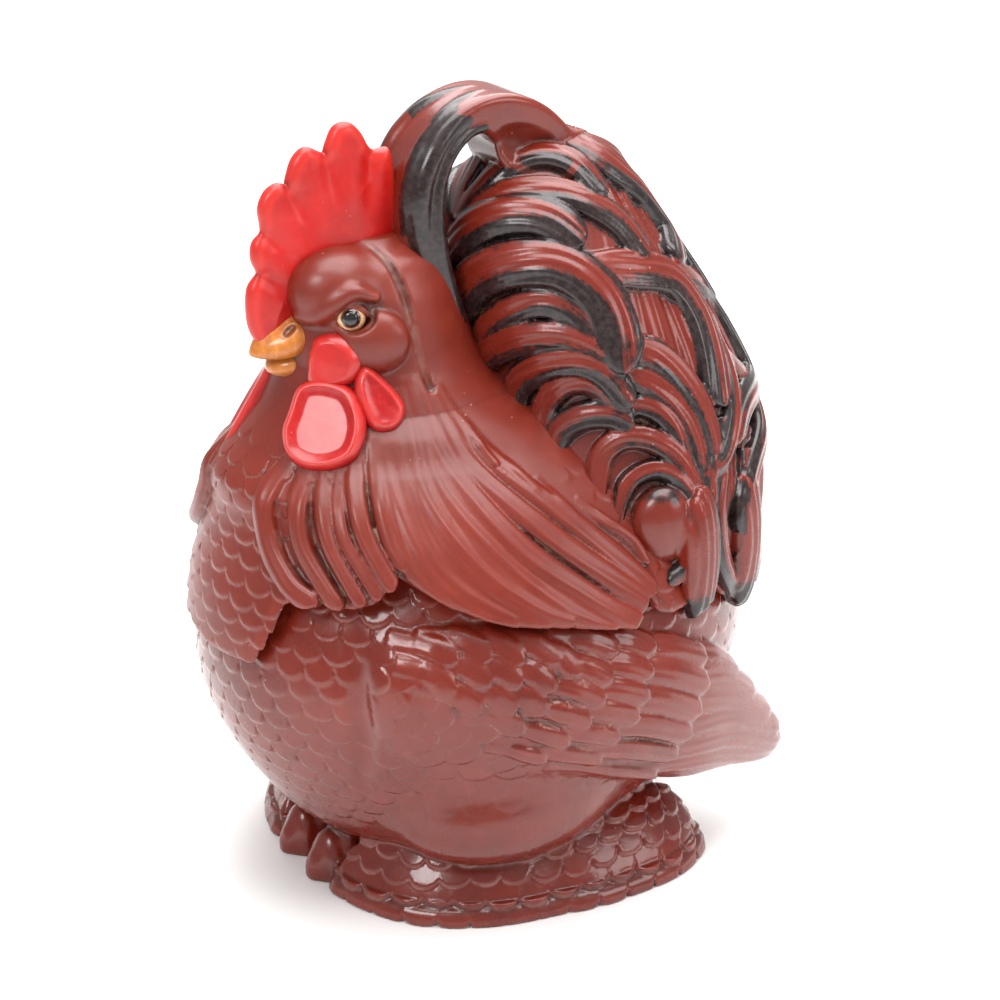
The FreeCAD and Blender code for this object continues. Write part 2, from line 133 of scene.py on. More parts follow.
def catmull(pts, step=2.0, closed=False):
    P = np.array(pts, float)
    n = len(P)
    idx = range(n if closed else n - 1)
    out = []
    for i in idx:
        if closed:
            a, b, c, d = P[(i-1) % n], P[i], P[(i+1) % n], P[(i+2) % n]
        else:
            b, c = P[i], P[i+1]
            a = P[i-1] if i > 0 else 2*b - c
            d = P[i+2] if i + 2 < n else 2*c - b
        m = max(2, int(np.linalg.norm(c - b) / step) + 1)
        t = np.linspace(0, 1, m, endpoint=False)[:, None]
        out.append(0.5*((2*b) + (-a+c)*t + (2*a-5*b+4*c-d)*t**2 + (-a+3*b-3*c+d)*t**3))
    out = np.concatenate(out)
    if not closed:
        out = np.vstack([out, P[-1]])
    return out

def poly_sdf(u, v, poly, want_s=False):
    """Signed distance in 2-D to a closed polygon, negative inside; optionally arc length of the nearest point."""
    poly = np.asarray(poly, float)
    best = np.full(u.shape, 1e9)
    arc = np.zeros(u.shape)
    inside = np.zeros(u.shape, bool)
    n = len(poly)
    s0 = 0.0
    for i in range(n):
        ax, ay = poly[i]; bx, by = poly[(i+1) % n]
        ex, ey = bx-ax, by-ay
        L2 = ex*ex + ey*ey + 1e-12
        t = np.clip(((u-ax)*ex + (v-ay)*ey) / L2, 0, 1)
        d = (u-ax-t*ex)**2 + (v-ay-t*ey)**2
        if want_s:
            arc = np.where(d < best, s0 + t*math.sqrt(L2), arc)
        best = np.minimum(best, d)
        c = ((ay > v) != (by > v))
        if ey != 0:
            inside ^= c & (u < ex*(v-ay)/ey + ax)
        s0 += math.sqrt(L2)
    d = np.sqrt(best)
    d = np.where(inside, -d, d)
    return (d, arc, s0) if want_s else d

def tube(P, pts, radii, step=2.0, flat=None):
    """Round tube along a curve with radii along it."""
    C = catmull(pts, step)
    L = np.concatenate([[0], np.cumsum(np.linalg.norm(np.diff(C, axis=0), axis=1))])
    R = np.interp(L / L[-1], np.linspace(0, 1, len(radii)), radii)
    best = np.full(len(P), 1e9)
    for c0, c1, r0, r1 in zip(C[:-1], C[1:], R[:-1], R[1:]):
        e = c1 - c0
        t = np.clip(((P - c0) @ e) / (e @ e), 0, 1)
        d = np.sqrt(((P - c0 - t[:, None]*e)**2).sum(1)) - (r0 + (r1-r0)*t)
        best = np.minimum(best, d)
    return best

def near(P, pts, pad):
    lo, hi = np.min(pts, 0) - pad, np.max(pts, 0) + pad
    return np.where(((P > lo) & (P < hi)).all(1))[0]

def grad(fn, P, e=0.6):
    g = np.stack([fn(P + np.eye(3)[k]*e) - fn(P - np.eye(3)[k]*e) for k in range(3)], 1)
    return g / (np.linalg.norm(g, axis=1, keepdims=True) + 1e-9)

def hashf(n):
    return (math.sin(n * 12.9898 + 4.1) * 43758.5453) % 1.0

def wave(P, s, seed=0):
    """Cheap smooth noise in about -1..1 from a few sines."""
    a = np.zeros(len(P))
    for i in range(4):
        k = np.array([hashf(seed*7+i*3+1)-.5, hashf(seed*7+i*3+2)-.5, hashf(seed*7+i*3+3)-.5])
        k = k / np.linalg.norm(k) * (6.283 / s) * (0.7 + 0.6*hashf(seed+i))
        a += np.sin(P @ k + 6.283*hashf(seed*3+i))
    return a / 2.4

# -------------------------------------------------------------- base volumes
JARP = [(0,.30),(5,.41),(13,.53),(28,.705),(43,.81),(60,.90),(80,.97),(100,1.0),(116,.985),(130,.945),(142,.89),(152,.825),(162,.745)]
jar_f = Stack([(z, -2.5, 100*k, 119*k) for z, k in JARP] + [(168, -2.5, 69, 82)])
cavity_f = Stack([(z, -2.5, 100*k-6, 119*k-6) for z, k in
    [(9,.40),(16,.52),(30,.70),(45,.815),(62,.90),(80,.965),(100,1.0),(116,.985),(130,.945),(142,.89),(152,.825),(162,.745),(168,.70),(176,.64)]])
skirt_f = Stack([(z, -2.5, 100*k+1.2, 119*k+1.2) for z, k in
    [(80,.97),(90,1.003),(100,1.003),(116,.99),(130,.95),(142,.895),(152,.83),(162.35,.748)]])
dome_f = Stack([(98,-3,103,121),(112,-3,103.5,121.5),(128,-3.5,101.5,119.5),(142,-5,97,114.5),(156,-7,89.5,106.5),(168,-9,81,98),(180,-12,70,87),(190,-14,58,75),(200,-16,44,61),(208,-18,25,40)])
hollow_f = Stack([(z, cy, rx-6, ry-6) for z, cy, rx, ry in [(160,-4,80,97),(169,-9,80,97),(176,-11,73,90),(184,-13,64.5,82),(192,-15,54,71),(200,-17,40,57)]])
mouth_f = Stack([(150,-2.5,61.7,75.9),(160,-2.5,61.7,75.9),(170,-2.5,61.7,75.9)])
neck_f = Stack([(152,-24,78,84),(165,-31,70,79),(180,-38,58,76),(195,-42,48,62),(210,-44,38,50),(225,-46,32.5,42),(240,-48,30,38),(255,-48,26,32),(265,-47,19,24),(271,-46,9,12)])
tail_f = Stack([(114,36,83,88),(130,39,88,85),(165,50,86,74),(200,53,76,61.5),(236,42,64,54),(265,33,47,44),(285,31.5,31,33),(296,34,19,23),(302,36,9,13)])
wing_s = StackY([(-92,58,108,8,8),(-84,62,107,16,21),(-74,66,106,20,28),(-60,71,105,21,32),(-30,81,101,21.5,35),(0,84.5,96,21,36),(28,84,88,19,37),(50,82.5,78,15,34),(70,78,68,11,28),(86,73.5,58,8.5,21.5),(98,70,50,6.5,15),(106,67.5,45.5,5,9.5),(111,66,43,3,4)])

def cape_base(P):
    return smin(dome_f(P), neck_f(P), 14)

def wing_base(P):
    return smin(jar_f(P), wing_s(P), 3.0)

HEM = [(-135,112),(-124,112.5),(-119,114),(-115,126),(-109,141),(-104,145),(-98,144.5),(-90,144),(-83,147),(-78,154),(-75,157),(-71,154),(-61,147),(-50,142),(-38,138),(-24,136),(-10,133),(4,130),(12,128.5),(17,133),(21,138),(26,130),(34,127),(44,128),(54,134),(59,133),(66,123),(74,118.5),(82,122),(88,124),(94,117),(102,112.5),(110,113),(118,115),(135,113)]
HEM_Y, HEM_Z = np.array(HEM, float).T
def hem_f(P):
    """Negative above the hem line."""
    return (np.interp(P[:, 1], HEM_Y, HEM_Z) - P[:, 2]) * 0.75
FEATHERS = [
    ('tail', 7.5, 2.5, {'b': 0.5}, [[12.9,46.5,297.9],[12.8,65.4,285.5],[19.7,73.1,268.8],[26.8,84.5,249.5],[33.2,92.7,234.3]]),
    ('tail', 7.5, 3.0, {'b': 0.6}, [[10.9,35.2,300.9],[21.5,48.0,290.7],[22.8,63.8,274.9],[25.9,72.7,261.2],[41.0,67.5,254.2]]),
    ('tail', 7.0, 3.0, {'b': 0.6}, [[42.8,72.4,247.3],[33.1,92.8,233.3],[38.2,102.2,217.4],[43.3,104.3,199.5],[67.3,83.5,197.0],[76.4,72.6,187.4]]),
    ('tail', 5.4, 3.2, {'b': 0.5}, [[58.4,84.8,212.7],[54.0,97.3,197.9],[59.8,98.2,184.4],[73.8,85.2,174.5],[80.4,76.7,163.3],[82.7,73.6,150.6]]),
    ('tail', 4.5, 3.0, {'b': 0.9}, [[77.1,79.6,174.8],[81.0,75.9,160.9],[79.7,79.2,144.4],[65.1,95.1,125.8],[58.5,101.6,113.3]]),
    ('tail', 6.5, 2.5, {'b': 0.6}, [[7.8,-6.4,276.1],[19.6,5.4,284.6],[28.6,18.8,285.0],[36.1,32.1,279.5],[41.7,42.2,270.6],[48.0,47.5,260.5]]),
    ('tail', 6.0, 3.0, {'b': 0.8}, [[3.5,-5.1,279.8],[8.7,6.2,291.3],[14.9,20.3,296.3],[23.1,31.0,292.8],[32.8,36.9,282.5]]),
    ('tail', 8.5, 2.8, {'b': 0.5}, [[48.7,20.0,259.0],[52.1,40.4,256.7],[51.0,59.7,249.5],[56.4,68.2,235.5],[64.9,69.9,219.3],[72.3,69.0,203.3]]),
    ('tail', 8.3, 3.6, {'b': 0.8}, [[-5.3,-12.4,252.6],[11.2,-8.4,269.3],[24.7,2.4,277.0],[34.4,13.1,275.9],[42.8,20.2,268.2]]),
    ('tail', 5.4, 3.0, {'b': 0.6}, [[55.9,78.5,225.0],[64.6,79.5,209.0],[73.5,74.3,194.2],[80.3,65.3,182.4],[81.9,59.0,180.5]]),
    ('tail', 6.7, 2.8, {'b': 0.6}, [[64.2,28.3,228.7],[67.3,38.4,227.0],[70.6,48.7,218.1],[74.6,56.9,204.3],[78.8,59.7,190.4],[82.9,57.9,177.4]]),
    ('tail', 9.6, 4.2, {'b': 0.7}, [[-3.4,-10.3,223.1],[13.9,-11.1,247.5],[29.5,-3.7,258.5],[43.2,10.1,260.0],[52.7,21.0,252.0],[60.0,26.6,239.3],[65.0,27.4,223.2]]),
    ('tail', 6.0, 2.6, {'b': 0.9}, [[11.6,-8.7,219.0],[27.4,-6.7,236.5],[41.6,2.4,246.0],[50.5,11.4,244.0],[56.7,17.6,236.9]]),
    ('tail', 6.7, 3.0, {'b': 0.4}, [[5.6,-8.4,199.9],[17.9,-7.4,217.4],[36.4,-2.4,229.8],[49.7,7.4,233.3],[58.1,17.1,230.2],[64.6,26.1,222.0]]),
    ('tail', 5.8, 2.6, {'b': 0.7}, [[65.7,27.5,219.4],[69.9,37.0,215.4],[73.9,45.9,206.0],[78.1,51.7,193.5],[82.3,53.5,179.9],[84.1,52.5,173.3]]),
    ('tail', 6.7, 3.4, {'b': 0.9}, [[33.8,-4.6,191.5],[34.6,-1.2,209.5],[45.7,4.0,221.1],[56.1,13.4,224.4],[62.4,21.6,219.5],[67.8,28.5,208.2]]),
    ('tail', 5.4, 2.6, {'b': 0.2}, [[46.5,-0.1,187.5],[46.2,4.9,204.8],[53.3,10.4,215.1],[60.3,18.0,215.4],[65.2,24.1,208.2]]),
    ('tail', 4.5, 2.8, {'b': 0.9}, [[67.1,26.9,207.4],[72.2,37.8,205.2],[76.2,44.7,197.0],[80.7,47.2,184.3]]),
    ('tail', 5.8, 3.0, {'b': 0.9}, [[53.0,2.0,183.7],[53.2,7.7,195.5],[59.6,15.7,202.5],[65.9,23.7,203.0],[69.8,28.4,199.8]]),
    ('tail', 3.8, 3.6, {'b': 0.9}, [[75.2,62.4,199.8],[80.4,58.3,185.7],[85.0,56.2,169.2],[87.2,53.7,155.5],[88.5,51.2,143.4],[87.4,48.8,130.2],[84.8,45.2,120.5]]),
    ('tail', 4.5, 3.4, {'b': 0.8}, [[77.0,68.3,190.0],[82.8,63.9,174.3],[86.0,60.1,159.4],[85.9,63.2,139.8],[73.1,78.8,115.8]]),
    ('tail', 4.9, 3.6, {'b': 0.3}, [[70.8,14.2,174.6],[67.3,17.2,186.5],[69.5,24.7,194.0],[74.5,34.6,193.8],[79.5,43.8,186.4],[84.0,48.4,174.1],[86.5,49.3,161.8]]),
    ('tail', 4.0, 4.2, {'b': 0.9}, [[77.4,20.2,168.3],[76.1,24.9,178.0],[78.8,35.1,182.4],[82.5,44.1,177.2],[85.8,48.5,166.4],[87.9,48.6,153.2],[88.9,43.1,143.5],[88.5,34.7,139.1]]),
    ('cape', 5.0, 1.8, {}, [[39.4,-37.1,210.0],[54.2,-29.9,194.8],[72.8,-13.9,177.2],[86.8,5.1,159.4],[95.2,23.4,139.3]]),
    ('cape', 5.4, 2.2, {}, [[38.0,-42.1,212.5],[58.9,-37.1,189.5],[80.3,-18.4,168.3],[94.0,5.3,147.2],[97.6,21.9,133.3]]),
    ('cape', 5.6, 2.6, {}, [[37.2,-46.9,213.1],[59.9,-44.3,187.2],[83.1,-29.0,163.3],[96.9,-5.6,142.4],[100.5,14.6,127.6]]),
    ('cape', 5.8, 2.4, {}, [[36.7,-51.0,213.7],[60.7,-51.4,184.7],[84.0,-38.4,159.4],[96.5,-19.0,141.9],[101.1,1.1,129.7]]),
    ('cape', 5.2, 2.7, {}, [[37.3,-55.8,210.7],[60.9,-58.1,182.1],[81.8,-48.1,158.7],[93.9,-30.8,143.6],[98.6,-16.6,136.7]]),
    ('cape', 5.2, 2.3, {}, [[38.3,-59.4,207.5],[59.0,-62.7,182.3],[78.2,-57.0,159.2],[90.7,-42.3,144.2],[97.4,-26.7,136.1]]),
    ('cape', 5.4, 2.7, {}, [[39.8,-63.8,204.8],[59.1,-68.0,179.3],[74.9,-63.8,159.5],[86.1,-52.8,146.8],[94.3,-39.1,137.3]]),
    ('cape', 5.0, 2.4, {}, [[41.0,-67.5,201.7],[59.4,-72.5,176.2],[71.0,-69.4,161.3],[80.3,-62.5,150.9],[84.9,-56.9,145.6]]),
    ('cape', 2.1, 1.8, {'s': 1}, [[46.0,-31.5,202.7],[53.9,-30.2,195.1],[60.3,-26.8,189.1]]),
    ('cape', 2.3, 1.8, {'s': 1}, [[57.1,-23.1,191.9],[63.9,-19.0,185.9],[70.6,-14.4,179.4]]),
    ('cape', 2.3, 1.8, {'s': 1}, [[68.7,-10.5,181.3],[73.8,-7.2,176.2],[79.0,-2.6,170.4]]),
    ('cape', 2.7, 1.8, {'s': 1}, [[76.3,4.1,172.6],[81.9,11.7,164.6],[85.7,20.2,157.4],[90.2,23.6,149.0]]),
    ('cape', 5.0, 3.2, {}, [[23.8,-98.1,192.8],[24.1,-105.7,184.1],[25.2,-108.3,173.8],[31.4,-107.5,160.0],[42.8,-105.3,149.3],[52.2,-100.2,144.7]]),
    ('cape', 4.1, 2.8, {}, [[31.1,-93.6,191.2],[36.0,-99.3,180.0],[41.1,-100.1,165.8],[51.1,-97.7,154.1],[59.5,-94.1,144.9]]),
    ('cape', 3.5, 3.2, {}, [[36.2,-88.0,191.8],[42.5,-92.4,180.9],[49.4,-92.7,167.4],[58.2,-90.2,156.0],[65.2,-87.2,147.3]]),
    ('cape', 3.3, 2.8, {}, [[40.3,-83.2,191.4],[46.3,-87.4,181.2],[52.8,-88.0,169.3],[61.4,-85.0,158.6],[68.4,-82.0,149.9]]),
    ('cape', 4.1, 3.2, {}, [[40.0,-76.5,197.0],[48.2,-81.0,184.3],[56.3,-82.1,171.8],[64.0,-79.9,161.4],[70.4,-77.4,153.3]]),
    ('cape', 3.3, 2.4, {}, [[42.2,-70.3,198.6],[54.3,-74.4,181.4],[63.0,-74.9,168.6],[69.7,-73.0,160.0]]),
    ('wing', 5.7, 2.2, {'l': 0}, [[94.8,41.9,107.7],[88.7,58.6,99.4],[82.4,74.2,87.8]]),
    ('wing', 5.9, 2.2, {'l': 0}, [[98.9,39.4,99.0],[89.3,63.6,90.0],[79.4,86.0,73.7]]),
    ('wing', 5.9, 2.2, {'l': 0}, [[101.4,35.7,88.9],[89.4,67.8,78.7],[75.7,97.1,59.3]]),
    ('wing', 5.7, 2.2, {'l': 0}, [[102.1,30.8,79.2],[89.1,69.7,67.7],[73.0,104.9,48.3]]),
    ('wing', 5.4, 2.2, {'l': 0}, [[100.8,24.7,70.2],[90.9,63.8,60.3],[70.0,108.1,38.9]]),
    ('wing', 4.9, 2.2, {'l': 0}, [[96.9,18.0,62.3],[92.1,55.7,54.3],[71.5,104.0,35.9]]),
    ('wing', 5.9, 2.6, {'l': 1}, [[99.1,13.8,118.5],[96.6,32.1,113.0],[92.8,50.2,102.6]]),
    ('wing', 5.9, 2.6, {'l': 1}, [[102.9,10.4,110.1],[100.7,29.7,104.4],[96.3,49.4,92.6]]),
    ('wing', 5.7, 2.6, {'l': 1}, [[105.1,3.3,101.0],[103.6,23.2,95.2],[99.4,43.9,83.6]]),
    ('wing', 5.4, 2.6, {'l': 1}, [[105.2,-5.7,91.3],[104.4,15.9,86.4],[100.2,38.8,74.9]]),
    ('wing', 4.9, 2.6, {'l': 1}, [[102.7,-13.2,82.3],[102.9,8.9,77.1],[99.4,33.0,67.1]]),
    ('wing', 4.4, 2.6, {'l': 1}, [[97.8,-19.2,74.0],[97.2,2.2,66.7],[94.9,26.7,57.8]]),
    ('wing', 5.4, 2.6, {'l': 2}, [[97.2,-1.4,125.7],[97.8,9.9,122.2],[98.4,21.3,116.4]]),
    ('wing', 5.4, 2.6, {'l': 2}, [[101.5,-5.1,117.7],[102.1,6.1,114.6],[102.4,17.7,108.1]]),
    ('wing', 5.2, 2.6, {'l': 2}, [[104.0,-10.0,109.2],[104.7,2.3,105.9],[104.5,14.8,99.4]]),
    ('wing', 4.9, 2.6, {'l': 2}, [[104.5,-16.9,101.6],[105.3,-3.7,98.5],[105.1,10.0,92.1]]),
    ('wing', 4.6, 2.6, {'l': 2}, [[103.1,-25.0,93.3],[104.5,-12.2,90.6],[104.6,1.7,85.3]]),
    ('wing', 4.4, 2.6, {'l': 2}, [[99.5,-31.7,84.8],[101.5,-19.3,81.8],[101.4,-4.1,75.8]]),
    ('wing', 5.4, 2.6, {'l': 3}, [[95.8,-16.4,128.7],[97.4,-6.1,125.8],[99.8,2.8,120.4]]),
    ('wing', 5.2, 2.6, {'l': 3}, [[100.4,-20.3,119.9],[102.0,-11.1,117.2],[103.6,-1.7,111.3]]),
    ('wing', 4.9, 2.6, {'l': 3}, [[102.3,-24.7,112.2],[103.9,-15.6,109.5],[105.1,-6.0,103.3]]),
    ('wing', 4.6, 2.6, {'l': 3}, [[101.9,-32.2,104.3],[104.0,-22.3,101.6],[105.1,-12.1,95.7]]),
    ('wing', 4.4, 2.6, {'l': 3}, [[99.2,-40.6,96.7],[101.8,-31.0,94.3],[103.1,-20.4,88.3]]),
    ('wing', 3.9, 2.6, {'l': 3}, [[95.5,-45.1,87.6],[97.8,-37.5,85.5],[99.1,-28.1,80.9]]),
    ('wing', 5.4, 2.4, {'l': 4}, [[74.6,-73.7,131.5],[80.5,-67.2,130.3],[86.6,-60.3,126.0]]),
    ('wing', 5.4, 2.4, {'l': 4}, [[79.7,-63.5,133.3],[84.5,-55.3,132.2],[91.3,-48.3,126.0]]),
    ('wing', 5.4, 2.4, {'l': 4}, [[85.2,-52.4,132.9],[89.8,-44.1,130.7],[95.9,-36.6,124.1]]),
    ('wing', 5.4, 2.4, {'l': 4}, [[89.9,-39.7,131.8],[93.7,-30.9,129.2],[99.1,-22.9,122.1]]),
    ('wing', 5.4, 2.4, {'l': 4}, [[95.2,-27.3,127.9],[98.7,-20.4,123.4],[102.1,-15.7,116.3]]),
    ('wing', 5.4, 2.4, {'l': 4}, [[81.5,-74.3,123.0],[85.6,-69.0,121.4],[89.5,-63.6,115.3]]),
    ('wing', 5.4, 2.4, {'l': 4}, [[86.0,-63.8,124.5],[89.4,-57.0,123.2],[94.1,-50.4,117.2]]),
    ('wing', 5.4, 2.4, {'l': 4}, [[91.2,-52.6,122.9],[94.3,-45.6,121.4],[98.2,-39.1,116.2]]),
    ('wing', 5.4, 2.4, {'l': 4}, [[96.3,-41.3,120.1],[98.6,-33.8,119.3],[101.8,-26.7,112.5]]),
    ('wing', 5.4, 2.4, {'l': 4}, [[87.9,-68.2,115.8],[90.8,-61.1,113.2],[94.2,-54.3,107.6]]),
    ('wing', 5.4, 2.4, {'l': 4}, [[92.8,-55.7,113.8],[95.8,-48.7,112.2],[99.1,-41.7,106.6]]),
    ('wing', 5.4, 2.4, {'l': 4}, [[97.5,-44.2,111.8],[100.2,-36.9,110.1],[102.3,-30.3,104.0]]),
    ('wing', 5.4, 2.4, {'l': 4}, [[95.1,-52.6,104.4],[97.5,-46.4,102.8],[99.8,-38.8,96.5]]),
]

# ---------------------------------------------------------------- feathers
class Feather:
    """One moulded feather: a curved blade lying on a base surface."""
    def __init__(s, k, group, w, h, tag, pts, base):
        s.k, s.group, s.w, s.h, s.tag, s.base = k, group, w, h, tag, base
        C = catmull(pts, 2.2)
        for _ in range(2):      # even out the traced depth
            C[1:-1] = 0.5*C[1:-1] + 0.25*(C[:-2] + C[2:])
        keep = C.copy()
        for _ in range(4):
            n = grad(base, C)
            C = C - n * np.clip(base(C), -6, 6)[:, None]
        C = 0.85*C + 0.15*keep
        s.N = grad(base, C)
        for _ in range(3):
            s.N[1:-1] = (s.N[1:-1]*2 + s.N[:-2] + s.N[2:]) / 4
        s.N /= np.linalg.norm(s.N, axis=1, keepdims=True)
        T = np.gradient(C, axis=0)
        T /= np.linalg.norm(T, axis=1, keepdims=True) + 1e-9
        s.B = np.cross(T, s.N)
        s.B /= np.linalg.norm(s.B, axis=1, keepdims=True) + 1e-9
        s.C, s.T = C, T
        s.L = np.concatenate([[0], np.cumsum(np.linalg.norm(np.diff(C, axis=0), axis=1))])
        s.r = hashf(k + 0.37)

    def local(s, P):
        """along (mm), across (mm) of the nearest point of the spine."""
        best = np.full(len(P), 1e9)
        bi = np.zeros(len(P), int)
        for i, c in enumerate(s.C):
            d = ((P - c)**2).sum(1)
            m = d < best
            best[m] = d[m]
            bi[m] = i
        q = P - s.C[bi]
        t = s.L[bi] + (q * s.T[bi]).sum(1)
        return t, (q * s.B[bi]).sum(1)

    def profile(s, t, a):
        L = s.L[-1]
        w = s.w * (0.72 + 0.28*sstep(0, s.w*2.5, t))
        tipr = s.w * (1.25 if s.group == 'tail' else 1.05)
        rem = np.clip((L + 0.35*s.w - t) / tipr, 0, 1)
        w = w * np.sqrt(np.clip(1 - (1 - rem)**2, 0, 1))
        side = np.clip(np.abs(a) / np.maximum(w, 0.3), 0, 1.6)
        tn = t / L
        rise = 0.42 + 0.58*sstep(0.0, 0.6, tn)
        if s.group == 'cape':       # neck feathers grow out of the neck without a step
            rise = 0.05 + 0.95*sstep(-0.1, 0.55, tn)
        crown = 0.5 + 0.5*np.sqrt(np.clip(1 - side**2, 0, 1))
        pitch = {'tail': 4.6, 'cape': 5.4, 'wing': 4.2}[s.group]
        gdepth = {'tail': 0.26, 'cape': 0.18, 'wing': 0.13}[s.group]
        wander = 0.8*np.sin(t*0.09 + s.r*6)
        groove = gdepth * np.cos(6.283*(a + wander)/pitch + s.r*6) * sstep(0, 0.25, tn) * (1 - sstep(0.75, 1.05, side))
        if s.tag.get('l') == 4:
            groove = groove * 0.3
        top = s.h * {'tail': 1.35, 'cape': 1.65, 'wing': 1.2}[s.group] * rise * crown + groove
        return w, side, tn, top

def stamp(P, F, feathers, bases, k_edge=1.5, k_join=0.9, att=None):
    """Union of the feathers into F; with att it also records what lies on top at each point."""
    for f in feathers:
        i = near(P, f.C, f.w + f.h + 4)
        if not len(i):
            continue
        d = bases[f.group][i]
        j = np.abs(d) < 11
        i, d = i[j], d[j]
        if not len(i):
            continue
        t, a = f.local(P[i])
        w, side, tn, top = f.profile(t, a)
        v = smax(d - top, np.abs(a) - w, k_edge)
        v = np.maximum(v, -(t + f.w*1.5))
        v = np.maximum(v, -(d + 5.5))
        if att is not None:
            on = (v < F[i] + 0.35) & (v < 1.2)
            q = i[on]
            att['fs'][q] = np.clip(a[on] / np.maximum(w[on], 1.0), -1, 1)
            att['ft'][q] = np.clip(tn[on], 0, 1)
            att['fa'][q] = a[on]
            att['fl'][q] = t[on]
            att['fid'][q] = f.r
            s_ = np.clip(a[on] / np.maximum(w[on], 1.0), -1, 1)
            b = f.tag.get('b', 0.0)
            if b > 0:
                b = 0.35 + 0.75*b
                low = sstep(-0.25, 0.65, s_)
                up = 0.75*sstep(0.50, 1.0, -s_)
                tip = sstep(0.50, 0.95, tn[on])
                att['blk'][q] = b * np.clip(low*(0.6+0.4*sstep(0.05, 0.4, tn[on])) + up*(1-0.4*low) + 0.45*tip, 0, 1.2)
            else:
                att['blk'][q] = 0
            att['edge'][q] = np.clip(1 - np.abs(np.abs(a[on]) - w[on]) / 1.3, 0, 1)
        F[i] = smin(F[i], v, k_join)
    return F

bases_for = {'tail': tail_f, 'cape': cape_base, 'wing': wing_base}
ALLF = [Feather(k, g, w, h, tag, p, bases_for[g]) for k, (g, w, h, tag, p) in enumerate(FEATHERS)]
TAILF = [f for f in ALLF if f.group == 'tail']
CAPEF = [f for f in ALLF if f.group == 'cape']
WINGF = sorted([f for f in ALLF if f.group == 'wing'], key=lambda f: f.tag['l'])

def shingle(u, v, wd, dz, L, seed=0):
    """Overlapping round-ended scales, u across and v down the row direction (mm).
    Returns height 0..1, distance in from the scale's edge (mm), a random number per scale."""
    H = np.zeros(len(u)); E = np.full(len(u), 3.0); I = np.zeros(len(u))
    k0 = np.floor(v / dz)
    n = int(math.ceil(L / dz)) + 1
    for back in range(0, n):           # nearer rows first, upper rows laid over them
        k = k0 - back
        off = 0.5*np.mod(k, 2)
        c = np.floor(u / wd + off)
        for dc in (0,):
            cc = c + dc
            jit = np.sin(cc*12.7 + k*31.3 + seed)
            uc = (cc - off + 0.5) * wd + 0.08*wd*jit
            du = (u - uc) / (0.54*wd)
            dv = (v - k*dz) / L
            Lk = 1 - 0.10*np.sin(cc*5.1 + k*17.9 + seed)
            # rounded end
            lim = Lk * (0.50 + 0.50*np.sqrt(np.clip(1 - np.abs(du)**2.2, 0, 1)))
            e = (lim - dv) * L * 0.8
            inside = sstep(-0.2, 1.0, e) * (dv > 0)
            h = 0.15 + 0.85*np.clip(dv/lim, 0, 1)**1.3
            h = h * (0.75 + 0.25*(1 - np.clip(np.abs(du), 0, 1)**2))
            H = H*(1-inside) + h*inside
            E = np.where(inside > 0.5, np.clip(e, 0, 3), np.minimum(E, np.clip(np.abs(e), 0, 3)))
            I = np.where(inside > 0.5, (np.sin(cc*3.3 + k*7.7)*0.5+0.5), I)
    return H, E, I

# ---------------------------------------------------------- piece A: the tail
HANDLE = [(-38,252),(-39,275),(-37.5,290),(-33,301.5),(-26,310.5),(-17,317),(-7,321),(3,322),(13,320),(23,315),(32,307.5),(40,299),(47,289),(50,278),(30,283),(16,288),(7,292),(3.5,297),(2,303),(-2,307.5),(-7,309.5),(-13,308),(-20,301),(-24.5,292),(-26,280),(-25,262),(-20,252)]
HANDLE_C = catmull([(y, z) for y, z in HANDLE], 3.0, closed=True)
STRAP_IN = catmull([(-24,262),(-25.5,280),(-24,292),(-19.5,301),(-12.5,307.5),(-7,309),(-2,307),(2,303),(3.5,297),(7,292)], 2.0)
SCOOP = ((21,15,300),(10.5,19,9.5))
BANDS = [   # rolled feather strands along the strap's outer edges
    ([(13,-20,222),(14,-27,245),(14.5,-33,268),(15,-34,288),(14.5,-28.5,302),(13,-20,311),(11,-10,316),(9,3,317.5),(6,17,314.5),(3,30,306)], [2.2,3.6,4.4,4.9,5.0,4.6,4.2,3.6,3.2,2.4]),
    ([(15.5,-12,216),(16.5,-19,238),(16.5,-26,262),(16,-27.5,284),(15.5,-23,299),(14.5,-14,308),(13.5,-5,311)], [1.8,3.0,3.6,3.8,3.5,2.8,1.6]),
    ([(10,-26,240),(11,-34,262),(11.5,-37.5,284),(11,-33,301),(9.5,-24,312),(7,-13,318.5),(4,0,320.5)], [1.6,2.8,3.4,3.6,3.4,2.8,1.8]),
]
TIPS = [((90,50,146),(7.5,11,30),30,0.9), ((77,80,144),(8,12,32),50,0.8), ((47,101.5,139),(11,7.5,31),-28,0.8), ((18,112,141),(11,7.5,28),-8,0.7)]
KNOB = ((84.5,35.5,160.5),(8.5,13,16.5),-14)

